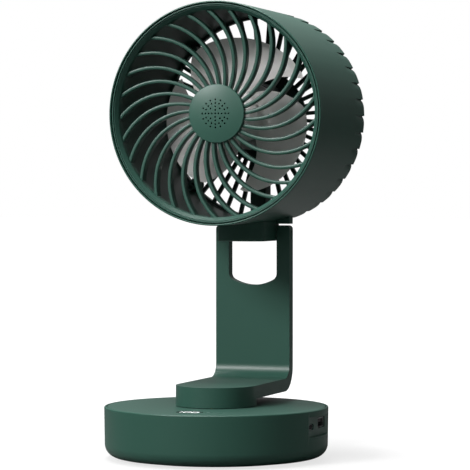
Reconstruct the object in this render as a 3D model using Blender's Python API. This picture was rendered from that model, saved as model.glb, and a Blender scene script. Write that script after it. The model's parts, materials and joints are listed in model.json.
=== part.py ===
"""Rechargeable desk fan with a round base, an L-shaped folding arm and a drum-shaped head.

The frame: metres, +Z up, origin on the floor under the swivel axis. The fan blows towards -Y.
The base holds the cells, boards and swing motor. The arm turns on the base about Z, the head
folds on the arm about X, and the impeller spins about Y.
"""

import math

import bmesh
import bpy
from mathutils import Matrix, Vector

MM = 0.001

# Fits
GAP = 0.3 * MM  # between pieces that seat on each other
RUNNING_GAP = 0.4 * MM  # between pieces that turn past each other
SCREW_RADIUS = 1.2 * MM
SCREW_HEAD_RADIUS = 2.7 * MM

# Base
BASE_RADIUS = 70.0 * MM
BASE_HEIGHT = 32.5 * MM
BASE_WALL = 2.7 * MM
BASE_FLOOR = 2.4 * MM
BASE_ROUND = 8.0 * MM
BASE_DRAFT = 0.5 * MM
BASE_RIM = 1.5 * MM
COVER_THICKNESS = 2.2 * MM
PAD_RADIUS = 54.0 * MM
PAD_PROUD = 1.2 * MM
PAD_RECESS = 0.8 * MM
COVER_POST_X = 33.0 * MM
COVER_POST_Y = 37.5 * MM
COVER_POST_RADIUS = 3.0 * MM

# Ports in the side of the base
PORT_FACE_X = 67.0 * MM
PORT_PANEL = 2.2 * MM
PORT_LOW = 16.2 * MM
PORT_HIGH = 28.8 * MM
PORT_SEAT_Z = 20.9 * MM
USB_A_Y = 5.0 * MM
USB_A_WIDTH = 13.2 * MM
USB_A_HEIGHT = 5.8 * MM
USB_A_LENGTH = 14.0 * MM
USB_C_Y = -14.8 * MM
USB_C_WIDTH = 8.9 * MM
USB_C_HEIGHT = 3.2 * MM
USB_C_LENGTH = 9.0 * MM

# Display and keys on the top of the base
DISPLAY_Y = -47.4 * MM
DISPLAY_RADIUS = 8.1 * MM
KEY_RADIUS = 2.1 * MM
KEY_TRAVEL = 0.6 * MM
KEY_PROUD = 0.2 * MM
POWER_KEY_X = 12.6 * MM
SWING_KEY_X = 19.0 * MM
BOARD_THICKNESS = 1.6 * MM
CONTROL_BOARD_TOP = 24.2 * MM

# Cells
CELL_RADIUS = 9.2 * MM
CELL_LENGTH = 65.0 * MM
CELL_X = 32.0 * MM

# Swing drive
GEAR_MODULE = 1.0 * MM
GEAR_TEETH = 44
PINION_TEETH = 12
GEAR_LOW = 24.6 * MM
GEAR_THICKNESS = 3.8 * MM
SHAFT_RADIUS = 9.3 * MM
SHAFT_BORE = 6.5 * MM
SWING_MOTOR_RADIUS = 14.0 * MM
SWING_MOTOR_OFFSET = 8.0 * MM
SWING_EAR_X = 17.5 * MM
SWING_SHAFT_RADIUS = 2.2 * MM

# Arm
ARM_WIDTH = 50.6 * MM
ARM_FRONT = 69.0 * MM
ARM_THICKNESS = 7.0 * MM
ARM_WALL = 2.0 * MM
ARM_SIDE_WALL = 2.3 * MM
ARM_TOP = 144.2 * MM
REAR_COVER = 1.5 * MM
FOOT_BOTTOM = 37.3 * MM
FOOT_TOP = 45.5 * MM
INNER_BEND = 9.0 * MM
OUTER_BEND = 15.5 * MM
BOSS_GAP = 0.4 * MM
BOSS_WALL = 2.9 * MM
WINDOW_WIDTH = 32.8 * MM
WINDOW_ARC = 30.0 * MM
WINDOW_CORNER = 4.5 * MM

# Fold hinge
HINGE_Y = 72.4 * MM
HINGE_Z = 138.0 * MM
HINGE_PIN_RADIUS = 1.75 * MM
NECK_CLEARANCE = 0.7 * MM
NECK_FRONT = 40.8 * MM
NECK_BELOW_HINGE = 3.8 * MM
SADDLE_GAP = 1.0 * MM

# Head
HEAD_Z = 214.8 * MM
HEAD_FRONT = -5.5 * MM
HEAD_BACK = 92.0 * MM
DRUM_FRONT_RADIUS = 70.0 * MM
DRUM_BACK_RADIUS = 69.2 * MM
DRUM_WALL = 2.6 * MM
DRUM_LIP = 1.1 * MM
GRILLE_SEAT = 4.2 * MM
FLUTES = 40
FLUTE_LENGTH = 20.0 * MM
FLUTE_DEPTH = 1.5 * MM
FLUTE_HALF_ANGLE = math.radians(1.1)

# Front grille
RING_INNER_RADIUS = 64.6 * MM
RIBS = 29
RIB_THICKNESS = 2.2 * MM
RIB_BACK = 6.2 * MM
RIB_FRONT_AT_RING = -0.6 * MM
RIB_FRONT_AT_CAP = 1.3 * MM
RIB_SWEEP = math.radians(32.4)
RIB_LEAD = math.radians(8.4)
CAP_RADIUS = 18.4 * MM
CAP_DOME = 1.9 * MM

# Rear grille
BARS = 40
BAR_WIDTH = 2.4 * MM
REAR_RING = 1.4 * MM
REAR_GRILLE_FRONT = 86.2 * MM
REAR_GRILLE_BACK = 91.0 * MM
REAR_DISC_RADIUS = 30.0 * MM
TOWER_RADIUS = 22.0 * MM
TOWER_WALL = 5.5 * MM
TOWER_FRONT = 62.0 * MM
WIRE_SPOKE_HALF_WIDTH = 5.2 * MM
WIRE_SPOKE_FRONT = 79.0 * MM
REAR_SCREW_CIRCLE = 62.6 * MM
REAR_LUG_RADIUS = 3.4 * MM

# Impeller and its motor
BLADES = 3
IMPELLER_RADIUS = 50.2 * MM
IMPELLER_FRONT = 30.0 * MM
IMPELLER_HUB_RADIUS = 16.5 * MM
IMPELLER_HUB_LENGTH = 22.0 * MM
IMPELLER_HUB_WALL = 1.5 * MM
BLADE_FRONT = 31.2 * MM
BLADE_BACK = 47.0 * MM
BLADE_THICKNESS = 1.4 * MM
BLADE_SPAN = math.radians(98.0)
BLADE_SWEEP = math.radians(42.0)
BLADE_LEAD = math.radians(-46.5)
MOTOR_SHAFT_RADIUS = 1.5 * MM
ROTOR_RADIUS = 14.6 * MM
ROTOR_WALL = 1.2 * MM
STATOR_RADIUS = 12.4 * MM
STATOR_POLES = 9
MOTOR_TUBE_RADIUS = 5.0 * MM
BEARING_RADIUS = 3.5 * MM
BEARING_WIDTH = 3.0 * MM

# Round pieces
SIDES_LARGE = 64
SIDES_MEDIUM = 32
SIDES_SMALL = 16
SIDES_SCREW = 8

GREEN = (0.030, 0.088, 0.064)
DARK_GREEN = (0.018, 0.048, 0.036)
GREY = (0.42, 0.41, 0.40)
BLACK = (0.010, 0.010, 0.011)
STEEL = (0.55, 0.56, 0.57)
BRASS = (0.60, 0.45, 0.18)
RUBBER = (0.020, 0.020, 0.021)
BOARD = (0.015, 0.110, 0.055)
SHRINK_WRAP = (0.035, 0.110, 0.320)

# finish: colour, roughness, metallic
FINISHES = {
    "housing": (GREEN, 0.46, 0.0),
    "grille": (DARK_GREEN, 0.50, 0.0),
    "blade": (GREY, 0.45, 0.0),
    "black": (BLACK, 0.35, 0.0),
    "lens": (BLACK, 0.12, 0.0),
    "steel": (STEEL, 0.32, 1.0),
    "brass": (BRASS, 0.30, 1.0),
    "rubber": (RUBBER, 0.75, 0.0),
    "board": (BOARD, 0.50, 0.0),
    "cell": (SHRINK_WRAP, 0.35, 0.0),
}


# ---------------------------------------------------------------- shape tools


def clear_scene():
    for obj in list(bpy.data.objects):
        bpy.data.objects.remove(obj, do_unlink=True)


def own_material(name, finish):
    """A Principled material for one piece."""
    colour, roughness, metallic = FINISHES[finish]
    material = bpy.data.materials.new(name)
    material.use_nodes = True
    shader = material.node_tree.nodes["Principled BSDF"]
    shader.inputs["Base Color"].default_value = (*colour, 1.0)
    shader.inputs["Roughness"].default_value = roughness
    shader.inputs["Metallic"].default_value = metallic
    material.diffuse_color = (*colour, 1.0)
    return material


def add(name, points, faces, finish):
    """An object from points and faces, with its normals out. finish None makes a hidden helper."""
    mesh = bpy.data.meshes.new(name)
    mesh.from_pydata([tuple(point) for point in points], [], faces)
    editable = bmesh.new()
    editable.from_mesh(mesh)
    bmesh.ops.recalc_face_normals(editable, faces=editable.faces)
    editable.to_mesh(mesh)
    editable.free()
    mesh.shade_smooth()
    mesh.set_sharp_from_angle(angle=math.radians(32))
    obj = bpy.data.objects.new(name, mesh)
    bpy.context.scene.collection.objects.link(obj)
    if finish is None:
        obj.hide_render = True
        obj.display_type = "WIRE"
    else:
        mesh.materials.append(own_material(name, finish))
    return obj


def along(axis, a, b, height):
    """A point height along an axis, with a and b on the other two axes in X, Y, Z order."""
    return {"X": (height, a, b), "Y": (a, height, b), "Z": (a, b, height)}[axis]


def turned(name, profile, finish, axis="Z", centre=(0.0, 0.0), sides=SIDES_MEDIUM):
    """A solid of revolution. The profile's points are (radius, height along the axis).

    A profile that starts and ends on the axis is a solid, and any other is closed into a ring.
    Each helper is turned by its own part of a side, so no two rounds' corners line up.
    """
    points = []
    rows = []
    phase = len(bpy.data.objects) * 0.377 % 1 if finish is None else 0.0
    for radius, height in profile:
        if radius == 0.0:
            rows.append([len(points)] * sides)
            points.append(along(axis, centre[0], centre[1], height))
            continue
        rows.append(list(range(len(points), len(points) + sides)))
        for step in range(sides):
            angle = 2 * math.pi * (step + phase) / sides
            a = centre[0] + radius * math.cos(angle)
            b = centre[1] + radius * math.sin(angle)
            points.append(along(axis, a, b, height))
    if profile[0][0] != 0.0:
        rows.append(rows[0])
    faces = []
    for lower, upper in zip(rows, rows[1:]):
        for step in range(sides):
            ahead = (step + 1) % sides
            corners = (lower[step], lower[ahead], upper[ahead], upper[step])
            face = tuple(dict.fromkeys(corners))
            if len(face) > 2:
                faces.append(face)
    return add(name, points, faces, finish)


def rod(name, radius, low, high, finish, axis="Z", centre=(0.0, 0.0), sides=SIDES_SMALL):
    profile = [(0.0, low), (radius, low), (radius, high), (0.0, high)]
    return turned(name, profile, finish, axis, centre, sides)


def tube(name, bore, radius, low, high, finish, axis="Z", centre=(0.0, 0.0), sides=SIDES_MEDIUM):
    profile = [(bore, low), (radius, low), (radius, high), (bore, high)]
    return turned(name, profile, finish, axis, centre, sides)


def prism(name, outline, low, high, finish, axis="Z"):
    """An outline in the plane across an axis, extruded from low to high."""
    count = len(outline)
    points = [along(axis, a, b, low) for a, b in outline]
    points += [along(axis, a, b, high) for a, b in outline]
    faces = [tuple(range(count)), tuple(range(count, 2 * count))]
    for i in range(count):
        j = (i + 1) % count
        faces.append((i, j, count + j, count + i))
    return add(name, points, faces, finish)


def block(name, low, high, finish):
    outline = [(low[0], low[1]), (high[0], low[1]), (high[0], high[1]), (low[0], high[1])]
    return prism(name, outline, low[2], high[2], finish)


def arc(centre, radius, start, end, steps):
    """Points on an arc, from start to end in degrees."""
    points = []
    for step in range(steps + 1):
        angle = math.radians(start + (end - start) * step / steps)
        a = centre[0] + radius * math.cos(angle)
        b = centre[1] + radius * math.sin(angle)
        points.append((a, b))
    return points


def on_circle(radius, degrees, centre=(0.0, 0.0)):
    angle = math.radians(degrees)
    return (centre[0] + radius * math.cos(angle), centre[1] + radius * math.sin(angle))


def combine(obj, operation, tools):
    for tool in tools:
        modifier = obj.modifiers.new(tool.name, "BOOLEAN")
        modifier.operation = operation
        modifier.object = tool
        modifier.solver = "EXACT"


def cut(obj, *tools):
    combine(obj, "DIFFERENCE", tools)


def join(obj, *tools):
    combine(obj, "UNION", tools)


def pivot(name, place, pieces, parent=None):
    """An empty on a joint's axis, with the pieces that turn or slide there as its children."""
    empty = bpy.data.objects.new(name, None)
    empty.empty_display_size = 10 * MM
    bpy.context.scene.collection.objects.link(empty)
    world = Vector(place)
    empty.location = world
    if parent is not None:
        empty.parent = parent
        empty.location = world - Vector(parent["world_place"])
    empty["world_place"] = tuple(world)
    for piece in pieces:
        piece.data.transform(Matrix.Translation(-world))
        piece.parent = empty
    return empty


def screw(name, head_low, head_height, length, axis="Z", centre=(0.0, 0.0), forward=1):
    """A pan-head screw whose shank runs forward along the axis from its head."""
    head_top = head_low + forward * head_height
    tip = head_top + forward * length
    profile = [
        (0.0, head_low),
        (SCREW_HEAD_RADIUS * 0.86, head_low),
        (SCREW_HEAD_RADIUS, head_low + forward * head_height * 0.4),
        (SCREW_HEAD_RADIUS, head_top),
        (SCREW_RADIUS, head_top),
        (SCREW_RADIUS, tip - forward * SCREW_RADIUS),
        (0.0, tip),
    ]
    return turned(name, profile, "steel", axis, centre, SIDES_SCREW)


def screw_hole(name, low, high, axis="Z", centre=(0.0, 0.0)):
    return rod(name, SCREW_RADIUS + GAP, low, high, None, axis, centre, SIDES_SCREW)


def gear_outline(teeth, turn, centre):
    """Straight-flanked spur teeth, slim enough to run with backlash."""
    pitch_radius = GEAR_MODULE * teeth / 2
    levels = ((pitch_radius - 1.2 * GEAR_MODULE, 0.33), (pitch_radius + 0.9 * GEAR_MODULE, 0.11))
    tooth_angle = 360.0 / teeth
    outline = []
    for tooth in range(teeth):
        middle = turn + tooth * tooth_angle
        for radius, share in levels:
            outline.append(on_circle(radius, middle - share * tooth_angle, centre))
        for radius, share in reversed(levels):
            outline.append(on_circle(radius, middle + share * tooth_angle, centre))
    return outline


# ---------------------------------------------------------------- base


def base_outer_radius(height):
    """The base wall's outer radius, which grows a little towards the top."""
    share = (height - BASE_ROUND) / (BASE_HEIGHT - BASE_ROUND)
    return BASE_RADIUS - BASE_DRAFT * (1 - share)


COVER_BOTTOM = BASE_HEIGHT - COVER_THICKNESS
FLOOR_TOP = PAD_PROUD + PAD_RECESS + BASE_FLOOR
COVER_POSTS = [(x, y) for x in (-COVER_POST_X, COVER_POST_X) for y in (-COVER_POST_Y, COVER_POST_Y)]
PINION_Y = GEAR_MODULE * (GEAR_TEETH + PINION_TEETH) / 2
SWING_MOTOR_Y = PINION_Y + SWING_MOTOR_OFFSET
SWING_MOTOR_TOP = GEAR_LOW - 1.4 * MM
SWING_EARS = [(-SWING_EAR_X, SWING_MOTOR_Y), (SWING_EAR_X, SWING_MOTOR_Y)]
BUSHING_RADIUS = SHAFT_RADIUS + RUNNING_GAP + 2.0 * MM
BOSS_BOTTOM = BASE_HEIGHT + BOSS_GAP
BOSS_RADIUS = ARM_WIDTH / 2 + 0.1 * MM


def base_lower_shell():
    """The cup: floor, rounded foot and wall, with bosses, a shaft guide and the port recess."""
    low = PAD_PROUD
    centre = (BASE_RADIUS - BASE_DRAFT - BASE_ROUND, low + BASE_ROUND)
    inner_radius = BASE_RADIUS - BASE_DRAFT - BASE_WALL
    inner_round = BASE_ROUND - BASE_FLOOR
    inner_centre = (inner_radius - inner_round, FLOOR_TOP + inner_round)
    rim_radius = BASE_RADIUS - BASE_RIM
    ledge_radius = inner_radius + 0.2 * MM
    ledge = COVER_BOTTOM - GAP
    profile = [(0.0, low + PAD_RECESS), (PAD_RADIUS + GAP, low + PAD_RECESS), (PAD_RADIUS + GAP, low)]
    profile += arc(centre, BASE_ROUND, -90, 0, 3)
    profile += [(BASE_RADIUS, BASE_HEIGHT - 0.6 * MM), (BASE_RADIUS - 0.6 * MM, BASE_HEIGHT)]
    profile += [(rim_radius, BASE_HEIGHT), (rim_radius, ledge), (ledge_radius, ledge)]
    profile += arc(inner_centre, inner_round, 0, -90, 2)
    profile += [(0.0, FLOOR_TOP)]
    shell = turned("base_lower_shell", profile, "housing", sides=SIDES_LARGE)

    # The port panel thickens the wall from inside, then the recess is cut flat into it.
    panel_radius = BASE_RADIUS - 1.5 * MM
    inner_x = PORT_FACE_X - PORT_PANEL
    half_angle = math.degrees(math.acos(inner_x / panel_radius))
    panel_outline = arc((0.0, 0.0), panel_radius, -half_angle, half_angle, 4)
    panel = prism("port_panel_stock", panel_outline, PORT_LOW - 2 * MM, ledge, None)
    join(shell, panel)
    guide_bore = SHAFT_RADIUS + RUNNING_GAP
    guide = tube("shaft_guide", guide_bore, guide_bore + 2.5 * MM, FLOOR_TOP - 1 * MM, 11 * MM, None)
    join(shell, guide)
    for i, place in enumerate(COVER_POSTS):
        join(shell, rod(f"floor_boss_{i}", 4.3 * MM, FLOOR_TOP - 1 * MM, 7.5 * MM, None, centre=place))
    ear_bottom = SWING_MOTOR_TOP - 1 * MM
    for i, place in enumerate(SWING_EARS):
        top = ear_bottom - GAP
        join(shell, rod(f"ear_post_{i}", 3 * MM, FLOOR_TOP - 1 * MM, top, None, centre=place))

    recess = block(
        "port_recess",
        (PORT_FACE_X, -BASE_RADIUS / 2, PORT_LOW),
        (BASE_RADIUS + 5 * MM, BASE_RADIUS / 2, PORT_HIGH),
        None,
    )
    cut(shell, recess, usb_a_hole(), usb_c_hole())
    for i, place in enumerate(COVER_POSTS):
        head = rod(f"head_bore_{i}", SCREW_HEAD_RADIUS + GAP, -1 * MM, 5.2 * MM, None, centre=place)
        cut(shell, head, screw_hole(f"shank_bore_{i}", 5 * MM, 9 * MM, centre=place))
    for i, place in enumerate(SWING_EARS):
        cut(shell, screw_hole(f"ear_bore_{i}", 12 * MM, ear_bottom + 1 * MM, centre=place))
    return shell


def stadium(width, height, y, z, steps=6):
    """A flat-sided round-ended outline in the Y-Z plane."""
    radius = height / 2
    reach = width / 2 - radius
    return arc((y + reach, z), radius, -90, 90, steps) + arc((y - reach, z), radius, 90, 270, steps)


USB_A_Z = PORT_SEAT_Z + USB_A_HEIGHT / 2
USB_C_Z = PORT_SEAT_Z + USB_C_HEIGHT / 2
SOCKET_FRONT_X = PORT_FACE_X - 0.6 * MM


def usb_a_hole():
    half_width = USB_A_WIDTH / 2 + GAP
    half_height = USB_A_HEIGHT / 2 + GAP
    low = (PORT_FACE_X - 3 * PORT_PANEL, USB_A_Y - half_width, USB_A_Z - half_height)
    high = (PORT_FACE_X + PORT_PANEL, USB_A_Y + half_width, USB_A_Z + half_height)
    return block("usb_a_hole", low, high, None)


def usb_c_hole():
    outline = stadium(USB_C_WIDTH + 2 * GAP, USB_C_HEIGHT + 2 * GAP, USB_C_Y, USB_C_Z)
    return prism("usb_c_hole", outline, PORT_FACE_X - 3 * PORT_PANEL, PORT_FACE_X + PORT_PANEL, None, "X")


def base_top_cover():
    """The flat lid inside the base's rim, with four screw posts under it."""
    bore = BUSHING_RADIUS + GAP
    radius = BASE_RADIUS - BASE_RIM - GAP
    cover = tube("base_top_cover", bore, radius, COVER_BOTTOM, BASE_HEIGHT, "housing", sides=SIDES_LARGE)
    for i, place in enumerate(COVER_POSTS):
        top = COVER_BOTTOM + COVER_THICKNESS / 2
        join(cover, rod(f"cover_post_{i}", COVER_POST_RADIUS, 8 * MM, top, None, centre=place))
    display_hole_radius = DISPLAY_RADIUS + GAP
    top = BASE_HEIGHT + 1 * MM
    below = COVER_BOTTOM - 1 * MM
    cut(cover, rod("display_hole", display_hole_radius, below, top, None, centre=(0.0, DISPLAY_Y)))
    for key_x in (POWER_KEY_X, SWING_KEY_X):
        cut(cover, rod("key_hole", KEY_RADIUS + GAP, below, top, None, centre=(key_x, DISPLAY_Y)))
    for i, place in enumerate(COVER_POSTS):
        cut(cover, screw_hole(f"post_bore_{i}", 7 * MM, 27 * MM, centre=place))
    return cover


def base_fasteners():
    for i, place in enumerate(COVER_POSTS, 1):
        screw(f"base_screw_{i}", 2.5 * MM, 2.4 * MM, 17 * MM, centre=place)
    for i, place in enumerate(SWING_EARS, 1):
        head_top = SWING_MOTOR_TOP + GAP + 1.6 * MM
        screw(f"swing_motor_screw_{i}", head_top, 1.6 * MM, 8 * MM, centre=place, forward=-1)


def non_slip_pad():
    edge = 0.5 * MM
    top = PAD_PROUD + PAD_RECESS - GAP
    profile = [(0.0, 0.0), (PAD_RADIUS - edge, 0.0), (PAD_RADIUS, edge), (PAD_RADIUS, top), (0.0, top)]
    return turned("non_slip_pad", profile, "rubber", sides=SIDES_LARGE)


def display():
    """The round window in the lid, and the digit module on the board under it."""
    place = (0.0, DISPLAY_Y)
    window_bottom = BASE_HEIGHT - 1.5 * MM
    rod("display_window", DISPLAY_RADIUS, window_bottom, BASE_HEIGHT - 0.1 * MM, "lens", centre=place, sides=40)
    module_top = window_bottom - GAP
    module_radius = DISPLAY_RADIUS - 1.1 * MM
    rod("display_module", module_radius, CONTROL_BOARD_TOP + GAP, module_top, "black", centre=place, sides=32)


def control_board():
    low = (-25 * MM, -61 * MM, CONTROL_BOARD_TOP - BOARD_THICKNESS)
    return block("control_board", low, (25 * MM, -27.5 * MM, CONTROL_BOARD_TOP), "board")


def push_key(name, switch_name, key_x):
    """A key held under the lid by its flange, over its switch. It slides down KEY_TRAVEL."""
    place = (key_x, DISPLAY_Y)
    flange_top = COVER_BOTTOM - 0.8 * MM
    flange_bottom = flange_top - 0.9 * MM
    top = BASE_HEIGHT + KEY_PROUD
    profile = [
        (0.0, flange_bottom),
        (KEY_RADIUS + 0.8 * MM, flange_bottom),
        (KEY_RADIUS + 0.8 * MM, flange_top),
        (KEY_RADIUS, flange_top),
        (KEY_RADIUS, top - 0.3 * MM),
        (KEY_RADIUS - 0.3 * MM, top),
        (0.0, top - 0.1 * MM),
    ]
    key = turned(name, profile, "housing", centre=place, sides=SIDES_SMALL)
    half = 2.2 * MM
    bottom = CONTROL_BOARD_TOP + GAP
    low = (key_x - half, DISPLAY_Y - half, bottom)
    switch = block(switch_name, low, (key_x + half, DISPLAY_Y + half, bottom + 2.4 * MM), "black")
    plunger_top = flange_bottom - KEY_TRAVEL - 0.2 * MM
    join(switch, rod(switch_name + "_plunger", 1.1 * MM, bottom + 1 * MM, plunger_top, None, centre=place))
    return key


def usb_sockets():
    """Both sockets stand on the charging board and reach into the port panel's holes."""
    half_width = USB_A_WIDTH / 2
    half_height = USB_A_HEIGHT / 2
    shell = 0.5 * MM
    back = SOCKET_FRONT_X - USB_A_LENGTH
    socket = block(
        "usb_a_socket",
        (back, USB_A_Y - half_width, USB_A_Z - half_height),
        (SOCKET_FRONT_X, USB_A_Y + half_width, USB_A_Z + half_height),
        "steel",
    )
    mouth = block(
        "usb_a_mouth",
        (back + 2 * MM, USB_A_Y - half_width + shell, USB_A_Z - half_height + shell),
        (SOCKET_FRONT_X + 1 * MM, USB_A_Y + half_width - shell, USB_A_Z + half_height - shell),
        None,
    )
    cut(socket, mouth)
    back = SOCKET_FRONT_X - USB_C_LENGTH
    outline = stadium(USB_C_WIDTH, USB_C_HEIGHT, USB_C_Y, USB_C_Z)
    socket = prism("usb_c_socket", outline, back, SOCKET_FRONT_X, "steel", "X")
    shell = 0.4 * MM
    outline = stadium(USB_C_WIDTH - 2 * shell, USB_C_HEIGHT - 2 * shell, USB_C_Y, USB_C_Z)
    mouth = prism("usb_c_mouth", outline, back + 1.5 * MM, SOCKET_FRONT_X + 1 * MM, None, "X")
    tongue_low = (back + 1 * MM, USB_C_Y - 3 * MM, USB_C_Z - 0.4 * MM)
    tongue_high = (SOCKET_FRONT_X - 1 * MM, USB_C_Y + 3 * MM, USB_C_Z + 0.4 * MM)
    cut(socket, mouth)
    join(socket, block("usb_c_tongue", tongue_low, tongue_high, None))
    board_top = PORT_SEAT_Z - GAP
    low = (44 * MM, -21 * MM, board_top - BOARD_THICKNESS)
    block("charging_board", low, (PORT_FACE_X - PORT_PANEL - 2.5 * MM, 14 * MM, board_top), "board")


def battery_cells():
    cell_z = FLOOR_TOP + GAP + CELL_RADIUS
    half = CELL_LENGTH / 2
    lip = 1 * MM
    button = 3 * MM
    for name, x in (("battery_cell_1", -CELL_X), ("battery_cell_2", CELL_X)):
        profile = [
            (0.0, -half),
            (CELL_RADIUS - lip, -half),
            (CELL_RADIUS, -half + lip),
            (CELL_RADIUS, half - 2 * lip),
            (CELL_RADIUS - lip, half - lip),
            (button, half - lip),
            (button, half),
            (0.0, half),
        ]
        turned(name, profile, "cell", "Y", (x, cell_z), 32)


def swing_drive():
    """Geared motor under the lid, whose pinion turns the gear on the arm's hollow shaft."""
    place = (0.0, SWING_MOTOR_Y)
    bottom = FLOOR_TOP + GAP
    motor = rod("swing_motor", SWING_MOTOR_RADIUS, bottom, SWING_MOTOR_TOP, "steel", centre=place, sides=40)
    ear_reach = SWING_EAR_X + 3.5 * MM
    low = (-ear_reach, SWING_MOTOR_Y - 3.4 * MM, SWING_MOTOR_TOP - 1 * MM)
    ears = block("motor_ears", low, (ear_reach, SWING_MOTOR_Y + 3.4 * MM, SWING_MOTOR_TOP - 0.05 * MM), None)
    axis = (0.0, PINION_Y)
    nose = rod("motor_nose", 4.5 * MM, SWING_MOTOR_TOP - 1 * MM, GEAR_LOW - RUNNING_GAP, None, centre=axis)
    join(motor, ears, nose)
    bore = SWING_SHAFT_RADIUS + RUNNING_GAP
    cut(motor, rod("motor_bore", bore, 18 * MM, GEAR_LOW + 1 * MM, None, centre=axis))
    for i, ear in enumerate(SWING_EARS):
        cut(motor, screw_hole(f"ear_hole_{i}", SWING_MOTOR_TOP - 2 * MM, GEAR_LOW, centre=ear))

    top = GEAR_LOW + GEAR_THICKNESS
    shaft = rod("swing_motor_shaft", SWING_SHAFT_RADIUS, 18.5 * MM, top - 0.4 * MM, "steel", centre=axis)
    half_tooth = 180.0 / PINION_TEETH
    outline = gear_outline(PINION_TEETH, 90.0 + half_tooth, axis)
    pinion = prism("swing_pinion", outline, GEAR_LOW, top, "brass")
    cut(pinion, rod("pinion_bore", SWING_SHAFT_RADIUS + GAP, GEAR_LOW - 1 * MM, top + 1 * MM, None, centre=axis))

    gear = prism("swivel_gear", gear_outline(GEAR_TEETH, 90.0, (0.0, 0.0)), GEAR_LOW, top, "blade")
    cut(gear, rod("gear_bore", SHAFT_RADIUS + GAP, GEAR_LOW - 1 * MM, top + 1 * MM, None, sides=SIDES_MEDIUM))
    bushing_bottom = top + RUNNING_GAP
    seat = BASE_HEIGHT + GAP
    flange_top = seat + 0.7 * MM
    bore = SHAFT_RADIUS + RUNNING_GAP
    profile = [
        (bore, bushing_bottom),
        (bore, flange_top),
        (BUSHING_RADIUS + 2 * MM, flange_top),
        (BUSHING_RADIUS + 2 * MM, seat),
        (BUSHING_RADIUS, seat),
        (BUSHING_RADIUS, bushing_bottom),
    ]
    turned("swivel_bushing", profile, "brass")
    return [shaft, pinion], [gear]


# ---------------------------------------------------------------- arm

ARM_BACK = ARM_FRONT + ARM_THICKNESS
FLANGE_BOTTOM = BASE_HEIGHT + GAP + 0.7 * MM + RUNNING_GAP
FLANGE_TOP = FLANGE_BOTTOM + 3.5 * MM
FLANGE_SCREWS = [on_circle(17 * MM, 30 + 120 * k) for k in range(3)]
BOSS_ROOF = FOOT_TOP - 3.0 * MM
COVER_START_Y = BOSS_RADIUS + 1.2 * MM
NECK_SWING = math.hypot(HINGE_Y - NECK_FRONT, NECK_BELOW_HINGE)
WINDOW_BOTTOM = HINGE_Z - NECK_SWING - NECK_CLEARANCE


def arm_profile(front_offset, back_offset, start_y, top):
    """The L of the arm seen from the side, as (y, z), thinned from its front and its back."""
    inner = INNER_BEND + front_offset
    outer = OUTER_BEND - back_offset
    inner_centre = (ARM_FRONT - INNER_BEND, FOOT_TOP + INNER_BEND)
    outer_centre = (ARM_BACK - OUTER_BEND, FOOT_BOTTOM + OUTER_BEND)
    outline = [(start_y, FOOT_BOTTOM + back_offset)]
    outline += arc(outer_centre, outer, -90, 0, 8)
    outline += [(ARM_BACK - back_offset, top), (ARM_FRONT + front_offset, top)]
    outline += arc(inner_centre, inner, 0, -90, 6)
    outline += [(start_y, FOOT_TOP - front_offset)]
    return outline


def bowed_end(low, grow):
    """The bowed end that the window and the neck share: a wide arc between two rounded corners."""
    radius = WINDOW_ARC + grow
    corner = WINDOW_CORNER + grow
    corner_x = WINDOW_WIDTH / 2 - WINDOW_CORNER
    rise = math.sqrt((radius - corner) ** 2 - corner_x**2)
    lean = math.degrees(math.atan2(corner_x, rise))
    middle = low + radius
    outline = arc((-corner_x, middle - rise), corner, 180, 270 - lean, 4)
    outline += arc((0.0, middle), radius, -90 - lean, -90 + lean, 8)[1:-1]
    return outline + arc((corner_x, middle - rise), corner, -90 + lean, 0, 4)


def window_outline(grow):
    """The U of the window between the prongs, as (x, z): open at the top, bowed below."""
    half = WINDOW_WIDTH / 2 + grow
    return bowed_end(WINDOW_BOTTOM - grow, grow) + [(half, ARM_TOP + 5 * MM), (-half, ARM_TOP + 5 * MM)]


def across_arm(name, outline, half_width):
    return prism(name, outline, -half_width, half_width, None, "X")


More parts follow.
